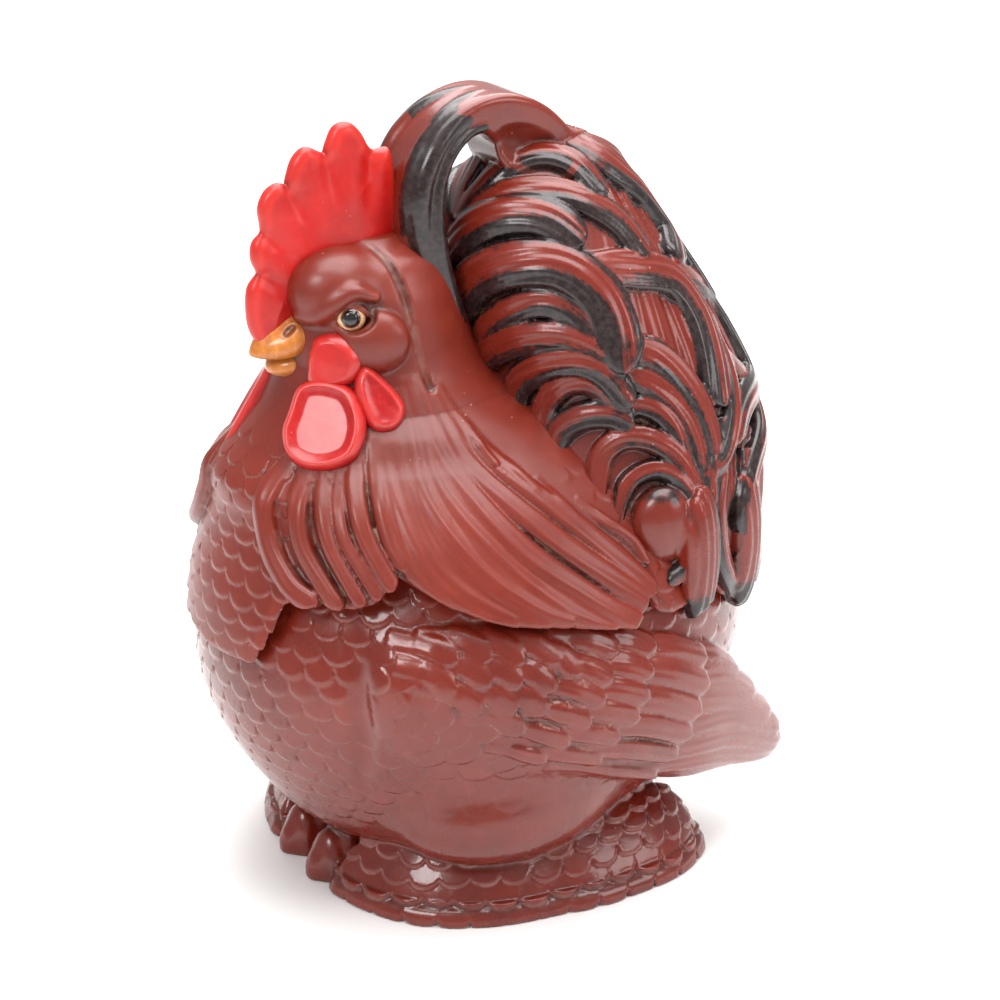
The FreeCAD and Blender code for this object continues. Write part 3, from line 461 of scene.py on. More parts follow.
def tail_shape(P, att=None):
    F = tail_f(P)
    base = F.copy()
    F = F + 1.6          # feathers stand proud of a slightly sunk ground
    # back of the tail: long sickle feathers running down
    th = np.arctan2(P[:, 0], P[:, 1] - 40)
    bk = sstep(20, 60, P[:, 1])
    u = th * 62
    g = np.cos(u*6.283/15.0 + 0.6*np.sin(P[:, 2]*0.05))
    F = F - bk * (1.1*g + 0.35*np.cos(u*6.283/4.1 + 1.2*np.sin(P[:, 2]*0.07)))
    # strap handle
    i = np.where((P[:, 2] > 235) & (P[:, 0] < 26) & (P[:, 1] < 62))[0]
    Q = P[i]
    if len(i):
        d2 = poly_sdf(Q[:, 1], Q[:, 2], HANDLE_C)
        hw = 14.6 + 1.6*sstep(300, 322, Q[:, 2]) - 2.0*sstep(25, 45, Q[:, 1])
        d = smax(d2 - 1.0, np.abs(Q[:, 0]) - hw, 3.6)
        d = smax(d, -ell(Q, SCOOP[0], SCOOP[1], rot(ax=-24)), 2.5)
        F[i] = smin(F[i], d, 6.0)
    for pts, rad in BANDS:
        j = near(P, np.array(pts), 9)
        if len(j):
            d = tube(P[j], pts, rad)
            F[j] = smin(F[j], d, 2.2)
            if att is not None:
                m = d < F[j] + 0.9
                q = j[m]
                att['blk'][q] = np.maximum(att['blk'][q], 0.95)
                att['fa'][q] = P[q, 0]*1.5; att['fl'][q] = P[q, 2]
    for c, r, az, b in TIPS:
        j = near(P, np.array([c]), 36)
        if len(j):
            d = ell(P[j], c, r, rot(az=az))
            q2 = (P[j] - np.array(c)) @ rot(az=az)
            across = q2[:, 1] if r[1] > r[0] else q2[:, 0]
            d = d + 0.4*np.cos(across*6.283/4.0)
            if att is not None:
                m = d < F[j] + 0.5
                q = j[m]
                s_ = across[m] / max(r[0], r[1])
                att['blk'][q] = b*np.clip(sstep(0.1, 0.6, s_) + sstep(0.25, 0.75, -q2[m, 2]/r[2]), 0, 1.1)
                att['fa'][q] = across[m]; att['fl'][q] = -q2[m, 2]
                att['fs'][q] = s_; att['ft'][q] = 0.5 - 0.5*q2[m, 2]/r[2]
            F[j] = smin(F[j], d, 2.0)
    F = stamp(P, F, TAILF, {'tail': base}, att=att)
    c, r, az = KNOB
    j = near(P, np.array([c]), 20)
    if len(j):
        d = ell(P[j], c, r, rot(az=az))
        if att is not None:
            m = d < F[j] + 0.4
            q = j[m]
            att['blk'][q] = 0.55*sstep(0.3, 0.9, (P[q, 2]-c[2])/r[2])
            att['fid'][q] = 0.5
        F[j] = smin(F[j], d, 2.2)
    # keep clear of the lid's inside and of the jar
    F = np.maximum(F, -(dome_f(P) + 3.0))
    F = np.maximum(F, -(skirt_f(P) + 0.3))
    F = smax(F, hem_f(P) - 6.0*sstep(20, 40, P[:, 1]), 1.5)
    if att is not None:
        q = np.where((P[:, 0] < 13.5) & (P[:, 1] < -26) & (P[:, 2] > 225))[0]
        att['blk'][q] = np.minimum(att['blk'][q], sstep(9, 12.5, P[q, 0]))
        d2 = np.full(len(P), 9.0)
        z = near(P, np.array([(0,-30,240),(0,50,322)]), 18)
        d2[z] = np.abs(poly_sdf(P[z, 1], P[z, 2], HANDLE_C))
        # painted shade along the underside of the strap's arch, within 3 mm of its inner edge
        under = (P[:, 0] < 12.5) & (P[:, 2] > 262) & (P[:, 1] > -30) & (P[:, 1] < 34) & (np.abs(poly_sdf(P[:, 1], P[:, 2], HANDLE_C)) < 3)
        inner = np.full(len(P), 99.0)
        zz = np.where(under)[0]
        if len(zz):
            dd = np.min(((P[zz, None, 1:] - STRAP_IN[None])**2).sum(2), 1)
            inner[zz] = np.sqrt(dd)
        att['dark'] = np.maximum(att['dark'], (inner < 3.0)*0.75)
        # round the scoop's rim: less black paint, and painted shade
        sc = ell(P, SCOOP[0], SCOOP[1], rot(ax=-24))
        m = (np.abs(sc) < 1.6) & (P[:, 2] > 285)
        att['blk'][m] *= 0.15
        att['dark'] = np.maximum(att['dark'], m*0.35)
    return F

# ----------------------------------------------- piece B: cape, neck and head
CREASE = [(8,-55,272),(13,-53,268.5),(18,-51,265.5),(26,-48,254),(30.5,-46,241),(33,-44,228),(35.5,-41,216)]
BROW = [(3,-86,243),(11,-82.5,241.5),(18,-77,243),(20.5,-73,249),(22,-68,253.5),(25,-62,252.5),(28,-56,248)]
def neck_scales(P):
    th = np.arctan2(P[:, 0], -(P[:, 1] + 14))
    u = th * 96
    v = (205 - P[:, 2]) * 1.12
    return u, v

def cape_shape(P, att=None):
    base = cape_base(P)
    F = base.copy()
    # chest bib: rows of scales
    u, v = neck_scales(P)
    H, E, I = shingle(u, v, 12.6, 8.2, 12.5, 1.0)
    bib = sstep(-66, -84, P[:, 1] - 0.35*np.clip(P[:, 0], 0, 60)*0.0) * sstep(206, 190, P[:, 2])
    back = sstep(-8, 22, P[:, 1]) * sstep(196, 180, P[:, 2])
    F = F - (1.35*H - 0.3) * bib
    F = F - (1.1*H - 0.2) * back
    # head: forehead lobe, ear bulge, cheek, brow
    lobe = ell(P, (8.5,-66,252.5), (16.5,21.5,17.5), rot(ax=-12))
    F = smin(F, lobe, 2.5)
    ear = ell(P, (27.5,-61.5,236.5), (7.2,14,12.5), rot(az=-28))
    F = smin(F, ear, 2.0)
    brow = tube(P, [(10,-85,245.5),(17,-80.5,247),(21.5,-75.5,252),(24.5,-68.5,256.5),(27,-60,254)], [1.5,2.6,3.0,2.9,1.6])
    F = smin(F, brow, 3.0)
    snout = ell(P, (8,-72,231), (12,11.5,11))
    F = smin(F, snout, 4.0)
    # eye socket and lids
    sock = ell(P, (26.0,-68.0,246.3), (5.2,7.2,5.6), rot(az=-26))
    F = smax(F, -sock, 2.2)
    lidu = tube(P, [(19.8,-75.2,245.5),(22.6,-71.6,250.6),(25.2,-66.5,250.2),(26.8,-61.8,246.2)], [0.8,1.5,1.6,0.9])
    F = smin(F, lidu, 1.4)
    lidl = tube(P, [(20.2,-74.8,244.0),(23.8,-71.4,240.8),(26.8,-66.5,240.6),(27.5,-62.2,244.2)], [0.8,1.35,1.4,0.9])
    F = smin(F, lidl, 1.4)
    F = stamp(P, F, CAPEF, {'cape': base}, att=att)
    # creases
    cre = tube(P, CREASE, [1.2,1.4,1.5,1.5,1.4,1.2])
    F = smax(F, -cre, 1.6)
    if att is not None:
        att['seam'] = np.maximum(att['seam'], np.clip(1 - np.abs(cre)/1.5, 0, 1)*0.8)
        onbib = np.clip(bib + back, 0, 1) * (att['ft'] <= 0)
        att['edge'] = np.maximum(att['edge'], onbib*np.clip(1 - E/1.2, 0, 1))
        att['fid'] = np.where(att['ft'] > 0, att['fid'], I)
        # painted shade along the crease under the brow and round the eye socket
        b2 = tube(P, BROW, [1.0,1.0])
        att['dark'] = np.maximum(att['dark'], np.clip(1 - np.abs(b2)/2.0, 0, 1)*0.5)
        socket = np.clip(1 - np.abs(sock)/2.0, 0, 1)
        att['dark'] = np.maximum(att['dark'], socket*0.6)
    # hem, hollow underside, mouth
    hem = hem_f(P)
    F = smax(F, hem, 1.8)
    F = np.maximum(F, -skirt_f(P))
    inner = np.minimum(hollow_f(P), mouth_f(P))
    F = smax(F, -inner, 1.0)
    if att is not None:
        att['inside'] = np.maximum(sstep(1.2, 0.3, np.abs(inner)), sstep(1.2, 0.3, np.abs(skirt_f(P))))
    return F

# ------------------------------------------------------------ piece D: the jar
FOOT = [(24,-78),(35,-80),(49,-75),(64,-65),(76,-49),(83,-31),(86,-12),(89,7),(88,26),(86,43),(79,58),(68,68),(52,60),(34,20),(24,-40)]
FOOT_C = catmull(FOOT, 3.0, closed=True)
_z = np.arange(0, 168, 1.0)
_k = np.interp(_z, jar_f.zz, np.sqrt(jar_f.rx*jar_f.ry))
ARC = np.concatenate([[0], np.cumsum(np.hypot(1.0, np.diff(_k)))])

def foot_top(d2, z):
    """Rounded mound rising inwards from the foot's outline."""
    q = np.clip(-d2 / 24.0, 0, 1)
    return 9.0 + 26.0*np.sin(q*math.pi/2)**0.9

def foot_shape(P, att=None):
    i = np.where((P[:, 2] < 46) & (P[:, 0] > 10) & (P[:, 1] < 84) & (P[:, 1] > -96))[0]
    F = np.full(len(P), 60.0)
    if not len(i):
        return F
    Q = P[i]
    d2, arc, per = poly_sdf(Q[:, 0], Q[:, 1], FOOT_C, want_s=True)
    z = Q[:, 2]
    d2m = d2 + 0.12*np.maximum(z, 0)
    # distance to a quarter-round profile: outline wall and rising top
    top = foot_top(d2, z)
    f = smax(d2 - 3.4, (z - top) * 0.72, 7.0)
    v = -d2*1.05 + z*0.55
    vv = 40 - v
    n = round(per / 13.6)
    wd = per / n
    H, E, I = shingle(arc, vv, wd, 8.4, 13.2, 3.0)
    f = f - (3.1*H - 1.2) * sstep(9, -2, f)
    f = np.maximum(f, -z)
    F[i] = f
    if att is not None:
        on = f < 1.5
        q = i[on]
        att['edge'][q] = np.clip(1 - E[on]/1.2, 0, 1)
        att['fid'][q] = I[on]
        att['foot'][q] = 1
    return F

def jar_shape(P, att=None):
    jb = jar_f(P)
    wb = smin(jb, wing_s(P), 3.0)
    F = wb.copy()
    # belly and back scales
    th = np.arctan2(P[:, 0]/100, -(P[:, 1]+2.5)/119)
    u = th * 105.0
    v = ARC[-1] - np.interp(P[:, 2], _z, ARC)
    H, E, I = shingle(u, v, 13.2, 8.6, 13.0, 2.0)
    wingy = sstep(2.5, -1.0, wing_s(P) - np.maximum(jb, 0)*0.2)
    amp = (0.95 + 0.3*wave(P, 60, 5)) * sstep(12, 40, P[:, 2]) * (1 - wingy)
    amp = amp * (0.55 + 0.45*sstep(40, 90, P[:, 2])) * (1 - 0.35*sstep(60, 100, P[:, 1]))
    F = F - (1.5*H - 0.4)*amp
    # shoulder of the wing: scales running back
    uw = (P[:, 2]-95)*0.92 + P[:, 1]*0.38
    vw = P[:, 1]*0.92 - (P[:, 2]-95)*0.38 + 120
    H2, E2, I2 = shingle(uw, vw, 12.0, 8.0, 12.0, 4.0)
    sh = wingy * sstep(14, -14, P[:, 1] + 0.1*(P[:, 2]-95))
    F = F - (1.35*H2 - 0.35)*sh
    # breast fold in front of the wing
    fold = tube(P, [(60,-92,140),(66,-92,122),(69,-92,104),(68,-90,84),(62,-88,66)], [2.2,3.4,4.0,3.4,1.0])
    F = smax(F, -fold, 5.0)
    thigh = ell(P, (60,-22,46), (33,50,27))
    F = smin(F, thigh, 9.0)
    F = stamp(P, F, WINGF, {'wing': wb}, att=att)
    if att is not None:
        free = att['ft'] <= 0
        e = np.where(wingy > 0.5, np.clip(1 - E2/1.2, 0, 1)*sh, np.clip(1 - E/1.2, 0, 1)*np.clip(amp, 0, 1))
        att['edge'] = np.where(free, e*0.9, att['edge'])
        att['fid'] = np.where(free, np.where(wingy > 0.5, I2, I), att['fid'])
    toe = ell(P, (12.5,-70,3), (11.5,19,19.5))
    toe = toe - 0.5*np.cos(P[:, 1]*6.283/9.0)*sstep(3, -1, toe)
    F = smin(F, toe, 3.0)
    ft = foot_shape(P, att)
    F = smin(F, ft, 2.5)
    F = np.maximum(F, -P[:, 2])
    # room for the lid's skirt
    lidvol = np.maximum(smax(dome_f(P), hem_f(P), 1.0), -skirt_f(P))
    F = np.maximum(F, -(lidvol - 0.9))
    # mouth and inside
    F = smax(F, P[:, 2] - 162, 1.6)
    F = smax(F, -cavity_f(P), 1.6)
    if att is not None:
        att['inside'] = sstep(1.5, 0.4, np.abs(cavity_f(P)))
        att['rim'] = sstep(160.6, 161.6, P[:, 2])
    return F

# ------------------------------------------------------ meshing and attributes
NAMES = ('fs', 'ft', 'fa', 'fl', 'fid', 'blk', 'edge', 'seam', 'dark', 'inside', 'rim', 'foot')
def new_att(n):
    return {k: np.zeros(n) for k in NAMES}

def mirrored(fn, P, att=None):
    Q = P.copy()
    Q[:, 0] = np.abs(Q[:, 0])
    return fn(Q, att) if att is not None else fn(Q)

def in_chunks(fn, P, n=600000):
    return np.concatenate([fn(P[i:i+n]) for i in range(0, len(P), n)])

def trilinear(G, lo, h, P):
    q = (P - lo) / h
    i = np.clip(np.floor(q).astype(int), 0, np.array(G.shape) - 2)
    f = np.clip(q - i, 0, 1)
    out = 0
    for a in (0, 1):
        for b in (0, 1):
            for c in (0, 1):
                w = (f[:, 0] if a else 1-f[:, 0]) * (f[:, 1] if b else 1-f[:, 1]) * (f[:, 2] if c else 1-f[:, 2])
                out = out + w * G[i[:, 0]+a, i[:, 1]+b, i[:, 2]+c]
    return out

def carve(name, fn, lo, hi, h, half=True, adapt=0.0, band=None, cutout=None):
    """Sample fn (negative inside) on a grid, turn it into a closed quad mesh and measure it."""
    lo = np.array(lo, float); hi = np.array(hi, float)
    if half:
        lo[0] = 0.0
    n = np.ceil((hi - lo) / h).astype(int) + 1
    ax = [lo[k] + h*np.arange(n[k]) for k in range(3)]
    P = np.stack(np.meshgrid(*ax, indexing='ij'), -1).reshape(-1, 3)
    if band is not None:
        near_ = in_chunks(band, P)
        F = np.where(near_ > 0, 1.0, -1.0) * 12.0
        m = np.abs(near_) < 9.0
        F[m] = in_chunks(fn, P[m], 400000)
    else:
        F = in_chunks(fn, P, 400000)
    G = np.clip(F.reshape(n), -8, 8).astype(np.float32)
    if half:
        G = np.concatenate([G[:0:-1], G])
        lo = lo.copy(); lo[0] = -hi[0] if False else -(n[0]-1)*h
    g = openvdb.FloatGrid(8.0)
    g.copyFromArray(np.ascontiguousarray(G))
    pts, tris, quads = g.convertToPolygons(isovalue=0.0, adaptivity=adapt)
    V = np.array(pts, float)*h + lo
    quads = np.array(quads, np.int64).reshape(-1, 4); tris = np.array(tris, np.int64).reshape(-1, 3)
    # sharpen: one step onto the true surface
    eye = np.eye(3)*h*0.7
    N = np.stack([trilinear(G, lo, h, V+eye[k]) - trilinear(G, lo, h, V-eye[k]) for k in range(3)], 1)
    N /= np.linalg.norm(N, axis=1, keepdims=True) + 1e-9
    att = new_att(len(V))
    f = mirrored(fn, V, att) if half else fn(V, att)
    V = V - N * np.clip(f, -0.35*h, 0.35*h)[:, None]
    V[:, 2] = np.maximum(V[:, 2], 0.0)
    R = 2.2
    out = trilinear(G, lo, h, V + N*R)
    inn = trilinear(G, lo, h, V - N*R)
    att['cav'] = np.clip(1 - out/R, 0, 1)         # creases
    att['cvx'] = np.clip(1 + inn/R, 0, 1)         # ridges
    # orientation
    a, b, c = V[quads[:2000, 0]], V[quads[:2000, 1]], V[quads[:2000, 2]]
    if len(quads) and (np.cross(b-a, c-a) * N[quads[:2000, 0]]).sum() < 0:
        quads = quads[:, ::-1]; tris = tris[:, ::-1]
    return build(name, V, quads, tris, att)

def build(name, V, quads, tris, att):
    me = bpy.data.meshes.new(name)
    nq, nt = len(quads), len(tris)
    me.vertices.add(len(V))
    me.vertices.foreach_set('co', (V*MM).astype(np.float32).ravel())
    loops = np.concatenate([quads.ravel(), tris.ravel()]).astype(np.int32)
    me.loops.add(len(loops))
    me.loops.foreach_set('vertex_index', loops)
    me.polygons.add(nq+nt)
    me.polygons.foreach_set('loop_start', np.concatenate([np.arange(nq)*4, nq*4+np.arange(nt)*3]).astype(np.int32))
    me.polygons.foreach_set('use_smooth', np.ones(nq+nt, bool))
    me.update(calc_edges=True)
    me.validate()
    for k, a in att.items():
        at = me.attributes.new(k, 'FLOAT', 'POINT')
        at.data.foreach_set('value', np.asarray(a, np.float32))
    o = bpy.data.objects.new(name, me)
    bpy.context.scene.collection.objects.link(o)
    print('PIECE', name, 'verts', len(V), 'faces', nq+nt, 'box', V.min(0).round(1), V.max(0).round(1))
    return o

# ------------------------------------------------------------ face and crown parts
COMB = [(-38.5,258),(-38.0,280),(-40.0,301),(-43.5,303),(-47,303),(-50,305.5),(-53,311),(-57.5,315),(-62.5,314),(-65.5,308.5),(-67.5,304.2),(-71,305.5),(-75.5,307.5),(-80,304),(-82.6,297.5),(-83.8,293.6),(-87.5,295),(-92,292.5),(-94.6,287),(-94,280.5),(-94.4,277.2),(-97.6,273.5),(-98.3,268),(-96.2,262.5),(-97.4,260),(-100.2,256),(-101,249),(-100.2,241),(-97,234.5),(-92.5,231),(-86,236),(-78,243),(-62,250)]
COMB_C = catmull(COMB, 1.6, closed=True)
NOTCH = [((-48.5,303.6),(-52,272)), ((-67.5,304.2),(-62,262)), ((-83.8,293.6),(-70,262)), ((-94.2,277.6),(-76,256)), ((-96.2,261.8),(-80,250))]
def comb_fn(P, att=None):
    d2 = poly_sdf(P[:, 1], P[:, 2], COMB_C)
    T = 3.6 + 3.2*sstep(0, -22, d2)
    for (y0, z0), (y1, z1) in NOTCH:
        e = np.array([y1-y0, z1-z0]); L = np.linalg.norm(e); e /= L
        q = P[:, 1:] - np.array([y0, z0])
        t = q @ e; s = q[:, 0]*-e[1] + q[:, 1]*e[0]
        T = T - 1.5*np.exp(-(s/(3.2+0.10*np.clip(t, 0, 40)))**2) * sstep(-3, 2, t) * sstep(L*1.0, L*0.25, t)
    f = smax(d2 - 1.4, np.abs(P[:, 0]) - T, 4.2)
    f = f * 0.9
    if att is not None:
        att['edge'] = sstep(-6, -0.5, d2)
        att['dark'] = sstep(-4, -1.5, -np.sqrt((P[:, 1]+40)**2))*0
        att['ft'] = np.clip((P[:, 2]-235)/80, 0, 1)
        att['fl'] = -d2
    return f

def pad_frame(pts):
    P = np.array(pts, float)
    c = P.mean(0)
    _, _, vt = np.linalg.svd(P - c)
    n = vt[2]
    if n[0] < 0:
        n = -n
    u = vt[0]; v = np.cross(n, u)
    return c, u, v, n

class Pad:
    """A moulded flap: closed outline in space, thick, with a raised soft rim and a dished middle."""
    def __init__(s, pts, thick, rim, push=0.0, cup=0.0):
        s.c, s.u, s.v, s.n = pad_frame(pts)
        s.c = s.c + s.n*push
        q = np.array(pts, float) - s.c
        s.poly = catmull(np.stack([q @ s.u, q @ s.v], 1), 1.2, closed=True)
        s.off = q @ s.n
        s.q2 = np.stack([q @ s.u, q @ s.v], 1)
        s.thick, s.rim, s.cup = thick, rim, cup
        s.lo, s.hi = np.min(pts, 0) - 9, np.max(pts, 0) + 9
        A = np.column_stack([s.q2, np.ones(len(q)), (s.q2**2).sum(1)])
        s.coef = np.linalg.lstsq(A, s.off, rcond=None)[0]
    def __call__(s, P, att=None):
        q = P - s.c
        a, b, h = q @ s.u, q @ s.v, q @ s.n
        h = h - (s.coef[0]*a + s.coef[1]*b)
        d2 = poly_sdf(a, b, s.poly)
        T = s.thick * (0.55 + 0.45*sstep(0, -3.5, d2)) + s.rim*np.exp(-((d2+2.6)/1.7)**2) - 0.35*s.rim*sstep(-4.5, -7, d2)
        f = smax(d2, np.abs(h - s.cup) - T, 2.2)
        if att is not None:
            att['edge'] = np.exp(-((d2+2.2)/1.7)**2)
            att['fl'] = -d2
        return f

WATTLE = [(15,-88,219),(14.5,-91,209),(16.5,-95,202),(22,-97,195.5),(27,-95,192),(32,-91,190.5),(37.5,-84,191.5),(41,-76.5,196),(39.5,-71.5,205),(35,-70.5,214),(29,-74,221.5),(20,-82,223)]
LOBE = [(28,-66,228),(31.5,-61,224),(35,-56,217),(38,-54,211),(40,-57,206),(40,-62,203.5),(38.5,-68,205),(35,-71,210),(30,-72,218),(27,-70,224)]
WATTLE_R = [(-7,-86,220),(-7.5,-91,209),(-9,-96.5,198),(-12.5,-102,188),(-17,-105,182),(-24,-104,178),(-31,-98,178),(-34,-90,186),(-31,-84,199),(-25,-81,211),(-16,-82,219)]
CHEEK = [(14.5,-83,222.5),(15,-80.5,236.5),(18.5,-77.5,239.8),(22.5,-73.8,240),(25.8,-69.5,237),(28,-67,231),(28.2,-69,224),(26,-73.5,220),(21,-79,218),(17,-82,218.5)]
wattle_l = Pad(WATTLE, 3.2, 1.3, 1.2)
lobe_l = Pad(LOBE, 2.9, 0.6, 1.0)
cheek_l = Pad(CHEEK, 4.4, 0.0, 0.8)
def side_r(pts):
    return Pad([(-x, y, z) for x, y, z in pts], 3.2, 1.0, 1.0)
wattle_r = side_r(WATTLE_R)

def cheek_fn(P, att=None):
    f = smax(cheek_l(P, att), ell(P, (20,-77,229.5), (11,15,14.5), rot(az=-38)) - 1.0, 2.0)
    return smin(f, ell(P, (21.5,-75,228.5), (5.2,10,9.5), rot(az=-38)), 2.0)

def upper_fn(P, att=None):
    Q = P.copy(); Q[:, 0] = np.abs(Q[:, 0])
    a = ell(Q, (0,-82.5,235.6), (12.6,17.0,8.6), rot(ax=22))
    b = ell(Q, (0,-92.0,232.6), (6.8,9.5,5.4), rot(ax=28))
    f = smin(a, b, 3.0)
    ridge = tube(Q, [(0,-84,243),(0,-91,240.0),(0,-96,235.6),(0,-99.3,230.2)], [2.6,2.4,2.0,1.0])
    f = smin(f, ridge, 3.5)
    nost = ell(Q, (8.6,-88.4,239.6), (1.8,3.4,1.0), rot(ax=30, az=18))
    f = smax(f, -nost, 0.7)
    mouth = -(Q[:, 2] - (228.6 + 0.10*(Q[:, 1]+90) + 0.012*(Q[:, 1]+90)**2))
    f = smax(f, mouth, 1.0)
    if att is not None:
        # painted shade in the nostrils and along the mouth line
        att['dark'] = np.clip(1 - np.abs(nost)/0.8, 0, 1)*0.9 + np.clip(1 - np.abs(mouth)/1.3, 0, 1)*0.55
        # marks the top ridge, which the material paints paler as a highlight
        att['edge'] = np.clip(1 - np.abs(ridge)/1.0, 0, 1)*0.6
        att['fl'] = P[:, 1]
    return f

def lower_fn(P, att=None):
    Q = P.copy(); Q[:, 0] = np.abs(Q[:, 0])
    f = ell(Q, (0,-80.8,225.6), (10.2,13.8,6.0), rot(ax=12))
    mouth = (Q[:, 2] - (228.3 + 0.10*(Q[:, 1]+90) + 0.012*(Q[:, 1]+90)**2))
    f = smax(f, mouth, 0.8)
    if att is not None:
        # painted shade along the mouth line
        att['dark'] = np.clip(1 - np.abs(mouth)/1.0, 0, 1)*0.5
        att['fl'] = P[:, 1]
    return f

EYE_C = (21.6,-68.2,246.0); EYE_R = 5.9
EYE_N = np.array([.86,-.46,.16]); EYE_N /= np.linalg.norm(EYE_N)
def eye_fn(P, att=None):
    q = P - np.array(EYE_C)
    f = np.sqrt((q**2).sum(1)) - EYE_R
    n = q / (np.linalg.norm(q, axis=1, keepdims=True) + 1e-9)
    ang = np.degrees(np.arccos(np.clip(n @ EYE_N, -1, 1)))
    f = f - 0.35*sstep(30, 22, ang)
    if att is not None:
        att['ft'] = ang
    return f

# --------------------------------------------------------------- build pieces
def flip(fn):
    def g(P, att=None):
        Q = P.copy(); Q[:, 0] = -Q[:, 0]
        return fn(Q, att)
    return g

def flip_box(lo, hi):
    return (-hi[0], lo[1], lo[2]), (-lo[0], hi[1], hi[2])

def band_tail(P):
    return np.minimum.reduce([tail_f(P), np.maximum(np.abs(P[:, 0]) - 15, poly_sdf(P[:, 1], P[:, 2], np.array(HANDLE, float)))]) if False else tail_band(P)

def tail_band(P):
    d = tail_f(P)
    i = np.where((P[:, 2] > 210) & (P[:, 0] < 34) & (P[:, 1] < 66))[0]
    if len(i):
        Q = P[i]
        d2 = poly_sdf(Q[:, 1], Q[:, 2], np.array(HANDLE, float))
        dh = np.maximum(d2, Q[:, 0] - 15)
        for pts, rad in BANDS[:2]:
            dh = np.minimum(dh, tube(Q, pts, rad, step=8.0))
        d[i] = np.minimum(d[i], dh)
    for c, r, az, b in TIPS:
        d = np.minimum(d, ell(P, c, r, rot(az=az)))
    return d

pieces = {}
pieces['tail_and_handle'] = carve('tail_and_handle', tail_shape, (0,-48,106), (104,134,327), VOX, band=tail_band)
pieces['cape_and_head'] = carve('cape_and_head', cape_shape, (0,-131,104), (112,126,277), VOX)
pieces['jar_and_wings'] = carve('jar_and_wings', jar_shape, (0,-128,-2), (114,122,165), VOX*1.05)
pieces['comb'] = carve('comb', comb_fn, (0,-105,226), (9,-33,320), FINE*1.2)
pieces['upper_beak_glaze'] = carve('upper_beak_glaze', upper_fn, (0,-104,222), (15,-62,250), FINE*0.95)
pieces['lower_beak_glaze'] = carve('lower_beak_glaze', lower_fn, (0,-101,215), (13,-64,234), FINE*0.95)
for side, sgn in (('left', 1), ('right', -1)):
    def put(nm, fn, lo, hi, h=FINE):
        if sgn < 0:
            fn = flip(fn); lo, hi = flip_box(lo, hi)
        pieces[nm] = carve(nm, fn, lo, hi, h, half=False)
    put(side + '_cheek_glaze', cheek_fn, (8,-92,212), (36,-60,246))
    put(side + '_earlobe_glaze', lobe_l, lobe_l.lo, lobe_l.hi)
    w = wattle_l if sgn > 0 else wattle_r
    put(side + '_wattle_glaze', w, w.lo, w.hi)
    put(side + '_eye_glaze', eye_fn, (14,-76,238), (30,-60,254), FINE*0.75)

# ---------------------------------------------------------------- materials
def lin(r, g, b):
    f = lambda c: (c/255/12.92) if c/255 <= 0.04045 else ((c/255+0.055)/1.055)**2.4
    return (f(r), f(g), f(b), 1.0)

class Mat:
    def __init__(s, name):
        s.m = bpy.data.materials.new(name)
        s.m.use_nodes = True
        s.t = s.m.node_tree
        s.t.nodes.clear()
        s.out = s.t.nodes.new('ShaderNodeOutputMaterial')
        s.b = s.t.nodes.new('ShaderNodeBsdfPrincipled')
        s.t.links.new(s.b.outputs[0], s.out.inputs[0])
        s.tc = s.t.nodes.new('ShaderNodeTexCoord')
    def n(s, kind, **kw):
        x = s.t.nodes.new(kind)
        for k, v in kw.items():
            setattr(x, k, v)
        return x
    def link(s, a, b):
        s.t.links.new(a, b)
    def attr(s, name):
        a = s.n('ShaderNodeAttribute'); a.attribute_name = name
        return a.outputs['Fac']
    def math(s, op, a, b=None, c=None, clamp=False):
        x = s.n('ShaderNodeMath', operation=op); x.use_clamp = clamp
        for i, v in enumerate((a, b, c)):
            if v is None: continue
            if isinstance(v, (int, float)): x.inputs[i].default_value = v
            else: s.link(v, x.inputs[i])
        return x.outputs[0]
    def ramp(s, v, a, b):
        x = s.n('ShaderNodeMapRange', interpolation_type='SMOOTHSTEP')
        s.link(v, x.inputs[0]); x.inputs[1].default_value = a; x.inputs[2].default_value = b
        return x.outputs[0]
    def noise(s, vec, scale, detail=3, rough=0.55, dist=0.0):
        x = s.n('ShaderNodeTexNoise')
        x.inputs['Scale'].default_value = scale; x.inputs['Detail'].default_value = detail
        x.inputs['Roughness'].default_value = rough; x.inputs['Distortion'].default_value = dist
        if vec is not None: s.link(vec, x.inputs['Vector'])
        return x.outputs['Fac']
    def mix(s, fac, a, b, blend='MIX'):
        x = s.n('ShaderNodeMix', data_type='RGBA', blend_type=blend)
        if isinstance(fac, (int, float)): x.inputs['Factor'].default_value = fac
        else: s.link(fac, x.inputs['Factor'])
        for sock, v in ((x.inputs[6], a), (x.inputs[7], b)):
            if isinstance(v, tuple): sock.default_value = v
            else: s.link(v, sock)
        return x.outputs[2]
    def obj(s):
        return s.tc.outputs['Object']
    def vec(s, x, y, z=0.0):
        c = s.n('ShaderNodeCombineXYZ')
        for i, v in enumerate((x, y, z)):
            if isinstance(v, (int, float)): c.inputs[i].default_value = v
            else: s.link(v, c.inputs[i])
        return c.outputs[0]
    def bump(s, height, strength, dist, normal=None):
        x = s.n('ShaderNodeBump'); x.inputs['Strength'].default_value = strength; x.inputs['Distance'].default_value = dist
        s.link(height, x.inputs['Height'])
        if normal is not None: s.link(normal, x.inputs['Normal'])
        return x.outputs[0]
    def gloss(s, rough, coat=0.5, coat_rough=0.08, ior=1.52):
        s.b.inputs['Roughness'].default_value = rough
        s.b.inputs['IOR'].default_value = ior
        s.b.inputs['Coat Weight'].default_value = coat
        s.b.inputs['Coat Roughness'].default_value = coat_rough
        s.b.inputs['Coat IOR'].default_value = 1.45
        s.b.inputs['Specular IOR Level'].default_value = 0.38

def strands(m, k_across=1.0, k_along=0.06, scale=1.0):
    """Noise drawn out along the feathers."""
    v = m.vec(m.math('MULTIPLY', m.attr('fa'), k_across), m.math('MULTIPLY', m.attr('fl'), k_along), m.math('MULTIPLY', m.attr('fid'), 37.0))
    return m.noise(v, scale, 3, 0.6)

